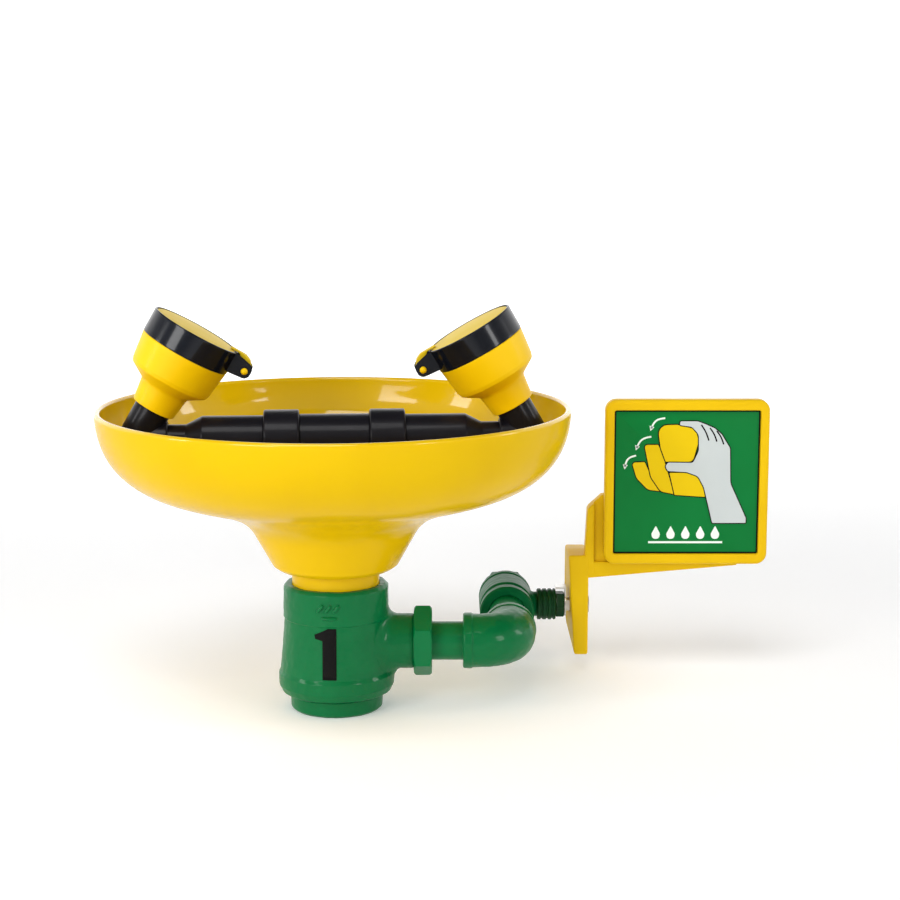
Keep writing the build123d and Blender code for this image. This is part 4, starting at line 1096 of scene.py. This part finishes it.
# Manifold: centre tube, collars and tapering arms, all turned about its cross axis
manifoldShape = {
    "turn": 4.0,
    "height": 151.5,
    "tube": 13.0,
    "collar": 15.5,
    "collarSpan": (19.0, 38.4),
    "arm": 12.5,
    "taper": (71.5, 80.3),
    "armEnd": 8.0,
    "armReach": 101.0,
    "elbow": 10.0,
    "corner": 107.5,
    "tilt": 30.0,
}
turnAngle = math.radians(manifoldShape["turn"])
rightWay = np.array([math.cos(turnAngle), math.sin(turnAngle), 0])
manifoldMiddle = np.array([0, 0, manifoldShape["height"]])


# Manifold centre: tube turned about the cross axis, and its foot about the upright
def makeManifoldCentre():
    shape = manifoldShape
    low = reach("manifold_tee")[0]
    span, tube = shape["collarSpan"][0], shape["tube"]
    across = spot(manifoldMiddle, zWay, rightWay)
    side = [(6.2, -28, 0), (9.9, -28, 0.4), (9.9, -span, 0), (tube, -span, 0.3)]
    side += [(radius, -height, rounding) for radius, height, rounding in reversed(side)]
    tubePoints = turned(rounded(side, steps=4, spacing=2.5), across, 96)
    foot = [(10.8, low[2] + 6, 0), (10.8, low[2], 0.4), (14.85, low[2], 0.8), (14.85, shape["height"] - 4, 0)]
    footPoints = turned(rounded(foot), upright, 96)
    surfaces = [(tubePoints, "caps"), (footPoints, "caps")]
    makePiece("manifold_centre", surfaces, "blackPlastic", ["manifold_tee"])


makeManifoldCentre()


# Both spray heads. Heights run up the head's own axis from the corner of its elbow
headShape = {
    "neckFoot": 19.7,
    "neck": (12.0, 13.7),
    "coneFoot": 32.7,
    "shoulder": 38.6,
    "cup": (22.9, 24.9),
    "ringFoot": 55.2,
    "top": 68.7,
    "ring": 25.1,
    "collar": 22.6,
    "collarTop": 62.0,
    "bore": 20.2,
    "plate": 2.5,
    "recess": 0.9,
    "hingeReach": 32.7,
    "hingeHeight": 62.2,
    "ear": (3.3, 3.0),
    "ball": 1.9,
}
lidShape = {"radius": 23.5, "foot": 68.0, "edgeTop": 68.55, "dome": 0.95, "wide": 6.0}


# Arm: collar and tapering tube, both turned about the cross axis on one side
def makeArm(side, name):
    shape = manifoldShape
    out = rightWay * side
    where = spot(manifoldMiddle, zWay, out)
    start, end = shape["collarSpan"]
    collar = [(10.1, start + 0.05, 0.2), (shape["collar"], start + 0.05, 1.1)]
    collar += [(shape["collar"], end, 1.1), (10.1, end, 0.2)]
    collar = rounded(collar, closed=True, steps=6, spacing=2.5)
    surfaces = [(turned(collar, where, 96), "loop")]
    makePiece(f"{name}_collar", surfaces, "blackPlastic", [f"{name}_coupling"])
    wide, slim = shape["arm"], shape["armEnd"]
    armSide = [(9.9, end - 9, 0), (9.9, end, 0), (wide, end, 0.5), (wide, shape["taper"][0], 2.5)]
    armSide += [(slim, shape["taper"][1], 2.0), (slim, shape["armReach"] - 2, 0)]
    arm = turned(rounded(armSide, steps=6, spacing=2.5), where, 96)
    makePiece(f"{name}_arm_tube", [(arm, "caps")], "blackPlastic", [f"{name}_arm"])


# Head: elbow, cup, ring and lid turned about the head's leaning axis; ears and tab carried across the hinge
def makeHead(side, name):
    shape, head = manifoldShape, headShape
    out = rightWay * side
    tilt = math.radians(shape["tilt"])
    rise = zWay * math.cos(tilt) - out * math.sin(tilt)
    inward = -out * math.cos(tilt) - zWay * math.sin(tilt)
    corner = manifoldMiddle + out * shape["corner"]
    where = spot(corner, inward, rise)

    wide, foot, leg = shape["elbow"], head["neckFoot"], shape["corner"]
    legFoot = leg - 17.5
    legSide = [(8.1, legFoot + 3, 0), (8.1, legFoot, 0.3), (wide, legFoot, 0.8), (wide, leg, 2), (3, leg, 0)]
    neckSide = [(3, -6, 0), (wide, -6, 2.5), (wide, foot, 0.5), (7, foot, 0.2), (7, foot - 3, 0)]
    legPoints = turned(rounded(legSide, spacing=2), spot(manifoldMiddle, zWay, out), 80)
    surfaces = [(legPoints, "caps"), (turned(rounded(neckSide, spacing=2), where, 80), "caps")]
    makePiece(f"{name}_elbow_tube", surfaces, "blackPlastic", [f"{name}_manifold_elbow"])

    cup = [
        (8.0, head["neckFoot"] + 5, 0), (8.0, head["neckFoot"], 0.3),
        (head["neck"][0], head["neckFoot"], 0.5), (head["neck"][1], head["coneFoot"] - 0.4, 3.0),
        (head["cup"][0] - 0.6, head["shoulder"] - 0.8, 1.6),
        (head["cup"][0] + 0.15, head["shoulder"] + 1.4, 2.0), (head["cup"][1], head["ringFoot"], 0.5),
        (head["collar"], head["ringFoot"], 0.1), (head["collar"], head["collarTop"], 0.2),
        (head["bore"], head["collarTop"], 0.2), (head["bore"], head["collarTop"] - 12, 0),
    ]
    surfaces = [(wavered(turned(rounded(cup, steps=6, spacing=1.6), where, 144), 0.03, 20), "caps")]
    makePiece(f"{name}_cup", surfaces, "cupYellow", [f"{name}_spray_cup"])

    ringSide = [
        (head["collar"] + 0.1, head["ringFoot"], 0.1), (head["ring"], head["ringFoot"], 0.5),
        (head["ring"], head["top"], 0.55), (lidShape["radius"] + 0.6, head["top"], 0.25),
        (lidShape["radius"] + 0.6, head["top"] - head["recess"], 0.15),
        (head["bore"], head["top"] - head["recess"], 0.3),
        (head["bore"], head["collarTop"] + head["plate"], 0.1),
        (head["collar"] + 0.1, head["collarTop"] + head["plate"], 0.1),
    ]
    surfaces = [(turned(rounded(ringSide, closed=True, steps=5, spacing=1.6), where, 144), "loop")]
    hinge = corner + rise * head["hingeHeight"] + inward * head["hingeReach"]
    pinWay = np.cross(inward, rise)
    toRing = head["ring"] - 1 - head["hingeReach"]
    earSide = [(3.1, 3.4, 3.0), (-2.0, 4.6, 3.0), (toRing, 6.1, 0.4), (toRing, -4.4, 0.4), (3.1, -3.2, 3.0)]
    for turnSide in (-1, 1):
        near, thick = head["ear"]
        low = near if turnSide > 0 else -near - thick
        earSpot = laid(hinge + pinWay * low, inward, rise, pinWay)
        surfaces.append((carried(earSide[::-1], slab(0, thick, 0.5), earSpot, steps=7), "caps"))
    makePiece(f"{name}_ring", surfaces, "blackGloss", [f"{name}_cap_ring"])

    reachOut = sum(head["ear"]) + 1.6
    arc = np.linspace(0.05, 2.39, 12)
    ball = np.stack([head["ball"] * np.sin(arc), reachOut + head["ball"] * np.cos(arc)], axis=1)
    profile = np.concatenate([ball, (ball * (1, -1))[::-1]])
    pinSpot = spot(hinge, inward, pinWay)
    makePiece(
        f"{name}_pin", [(turned(profile, pinSpot, 40), "caps")], "cupYellow", [f"{name}_hinge_pin"]
    )

    lid, dome = lidShape, np.linspace(1, 0, 14)
    crown = np.stack([(lid["radius"] - 0.9) * dome, lid["edgeTop"] + lid["dome"] * (1 - dome**2)], axis=1)
    crown[-1, 0] = 0.3
    under = rounded(
        [
            (0.4, lid["foot"], 0), (16.5, lid["foot"], 0.2), (16.5, lid["foot"] - 1.8, 0.3),
            (18.0, lid["foot"] - 1.8, 0.3), (18.0, lid["foot"], 0.2), (lid["radius"], lid["foot"], 0.15),
            (lid["radius"], lid["edgeTop"] - 0.05, 0.2),
        ],
        spacing=2.0,
    )
    disc = turned(np.concatenate([under[:-1], crown]), where, 128)
    high = head["top"] + 0.3 - head["hingeHeight"]
    tab = [
        (lid["radius"] - 3 - head["hingeReach"], high + 1.0, 0.3),
        (lid["radius"] - 3 - head["hingeReach"], high, 0.2), (-6.8, high, 0.6), (-2.9, 2.6, 1.5),
        (-2.8, -2.8, 2.7), (2.8, -2.8, 2.7), (2.8, 2.6, 2.0), (0.2, high - 0.6, 1.4),
        (-3.0, high + 0.9, 2.0),
    ]
    tabSpot = laid(hinge - pinWay * lid["wide"] / 2, inward, rise, pinWay)
    surfaces = [(disc, "caps"), (carried(tab, slab(0, lid["wide"], 0.5), tabSpot, steps=6), "caps")]
    makePiece(f"{name}_lid_disc", surfaces, "lidYellow", [f"{name}_dust_lid"], body=f"{name}_lid")


for side, name in ((-1, "left"), (1, "right")):
    makeArm(side, name)
    makeHead(side, name)
print("manifold and heads done")


# CAD nodes that stay as they are, each in its own finish
keptNodes = {
    "drain_strainer": "steel",
    "valve_ball": "chrome",
    "ball_seats": "sealWhite",
    "valve_stem": "steel",
    "stem_packing": "sealWhite",
    "stop_plate": "steel",
    "lever_screw": "steel",
    "flag_screws": "steel",
    "left_neck_seal": "rubber",
    "right_neck_seal": "rubber",
    "left_flow_control": "sealWhite",
    "right_flow_control": "sealWhite",
    "left_foam_filter": "foam",
    "right_foam_filter": "foam",
    "left_spray_disc": "greyPlastic",
    "right_spray_disc": "greyPlastic",
}
for node, finish in keptNodes.items():
    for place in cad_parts[node].material_slots:
        place.material = finishes[finish]
print("carried-over nodes finished:", len(keptNodes))


# Studio: dished floor, soft boxes, camera
studio = {
    "floorRadius": 2.6,
    "coveRadius": 1.4,
    "wallTop": 3.2,
    "skyStrength": 0.1,
    "nearGlow": 0.2,
    "farGlow": 0.85,
    "frontPaper": 0.55,
    "aim": (0.06, 0, 0.13),
    # name: bearing from the front in degrees, elevation, distance, size across and up, power
    "boxes": {
        "key_box": (-35, 15, 1.7, 0.62, 0.62, 10.5),
        "left_box": (-72, 13, 1.7, 0.32, 0.5, 5),
        "front_right_box": (44, 14, 1.7, 0.26, 0.5, 4),
        "right_box": (92, 16, 1.7, 0.26, 0.4, 3),
        "top_box": (-15, 56, 1.9, 1.0, 0.8, 16),
    },
}


# Paper of the studio: a faint grain, darker in front of the object, and a glow that grows towards the
# wall behind it
def studioPaper():
    made = Finish("studio_paper", IOR=1.4, Roughness=0.75, Emission_Strength=1.0)
    grain = made.noise(900, 3)
    parts = made.node("ShaderNodeSeparateXYZ", None, {0: made.where})
    depth = Field(made, parts.outputs["Y"])
    front, near, far = studio["frontPaper"], studio["nearGlow"], studio["farGlow"]
    paper = made.mixed(grain, (0.87, 0.87, 0.87, 1), (0.85, 0.85, 0.855, 1))
    made.colour(made.mixed(depth.between(-1.7, -0.5), (front,) * 3 + (1,), paper))
    glow = made.mixed(depth.between(0.2, 1.7), (near,) * 3 + (1,), (far,) * 3 + (1,))
    made.feed(made.shader, "Emission Color", made.mixed(depth.between(-1.7, -0.5), (near,) * 3 + (1,), glow))
    made.relief(grain, 0.00001)
    return made.material


cameraShape = {"place": (0.063, -1.037, 0.3162), "pitch": 9.4, "lens": 77.0, "sensor": 36.0}


# Floor: flat disc, quarter round cove and wall, turned about the upright and closed in the middle
def makeFloor():
    flat, cove = studio["floorRadius"], studio["coveRadius"]
    turn = np.linspace(0, np.pi / 2, 18)
    curve = np.stack([flat + cove * np.sin(turn), cove * (1 - np.cos(turn))], axis=1)
    profile = np.concatenate([[(0.02, 0), (flat / 2, 0)], curve, [(flat + cove, studio["wallTop"])]])
    angle = np.linspace(0, 2 * np.pi, 97)
    radius, height = profile[:, :1], profile[:, 1:]
    points = np.stack([radius * np.cos(angle), radius * np.sin(angle), height + 0 * angle], axis=-1)
    mesh = bpy.data.meshes.new("studio_floor")
    rows, columns = points.shape[:2]
    row, column = np.arange(rows - 1)[:, None], np.arange(columns - 1)[None, :]
    corners = (row, column), (row + 1, column), (row + 1, column + 1), (row, column + 1)
    quads = np.stack([(r * columns + c).ravel() for r, c in corners], axis=1).tolist()
    quads.append(list(range(columns - 1)))
    mesh.from_pydata(points.reshape(-1, 3).tolist(), [], quads)
    mesh.shade_smooth()
    mesh.materials.append(studioPaper())
    floor = bpy.data.objects.new("studio_floor", mesh)
    bpy.context.scene.collection.objects.link(floor)
    floor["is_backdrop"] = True


# A box hangs at its bearing and elevation round the object and faces it
def makeLights():
    aim = Vector(studio["aim"])
    for name, (bearing, elevation, distance, across, tall, power) in studio["boxes"].items():
        lamp = bpy.data.lights.new(name, "AREA")
        lamp.shape, lamp.size, lamp.size_y, lamp.energy = "RECTANGLE", across, tall, power
        box = bpy.data.objects.new(name, lamp)
        turn, lift = math.radians(bearing), math.radians(elevation)
        way = Vector((math.sin(turn) * math.cos(lift), -math.cos(turn) * math.cos(lift), math.sin(lift)))
        box.location = aim + way * distance
        box.rotation_euler = (-way).to_track_quat("-Z", "Y").to_euler()
        box.visible_camera = False
        bpy.context.scene.collection.objects.link(box)
    world = bpy.data.worlds.new("studio_sky")
    world.use_nodes = True
    sky = world.node_tree.nodes["Background"]
    sky.inputs["Color"].default_value = (1, 1, 1, 1)
    sky.inputs["Strength"].default_value = studio["skyStrength"]
    bpy.context.scene.world = world


# Camera: level across, pitched down by its angle, with no depth of field
def makeCamera():
    lens = bpy.data.cameras.new("camera")
    lens.lens, lens.sensor_width = cameraShape["lens"], cameraShape["sensor"]
    camera = bpy.data.objects.new("camera", lens)
    camera.location = cameraShape["place"]
    camera.rotation_euler = (math.radians(90 - cameraShape["pitch"]), 0, 0)
    bpy.context.scene.collection.objects.link(camera)
    bpy.context.scene.camera = camera


makeFloor()
makeLights()
makeCamera()
bpy.context.scene.view_settings.view_transform = "Standard"
print("studio done")

sizes = {"cad": cadBox, "visual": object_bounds()}
sizes = {name: [[float(value) for value in corner] for corner in box] for name, box in sizes.items()}
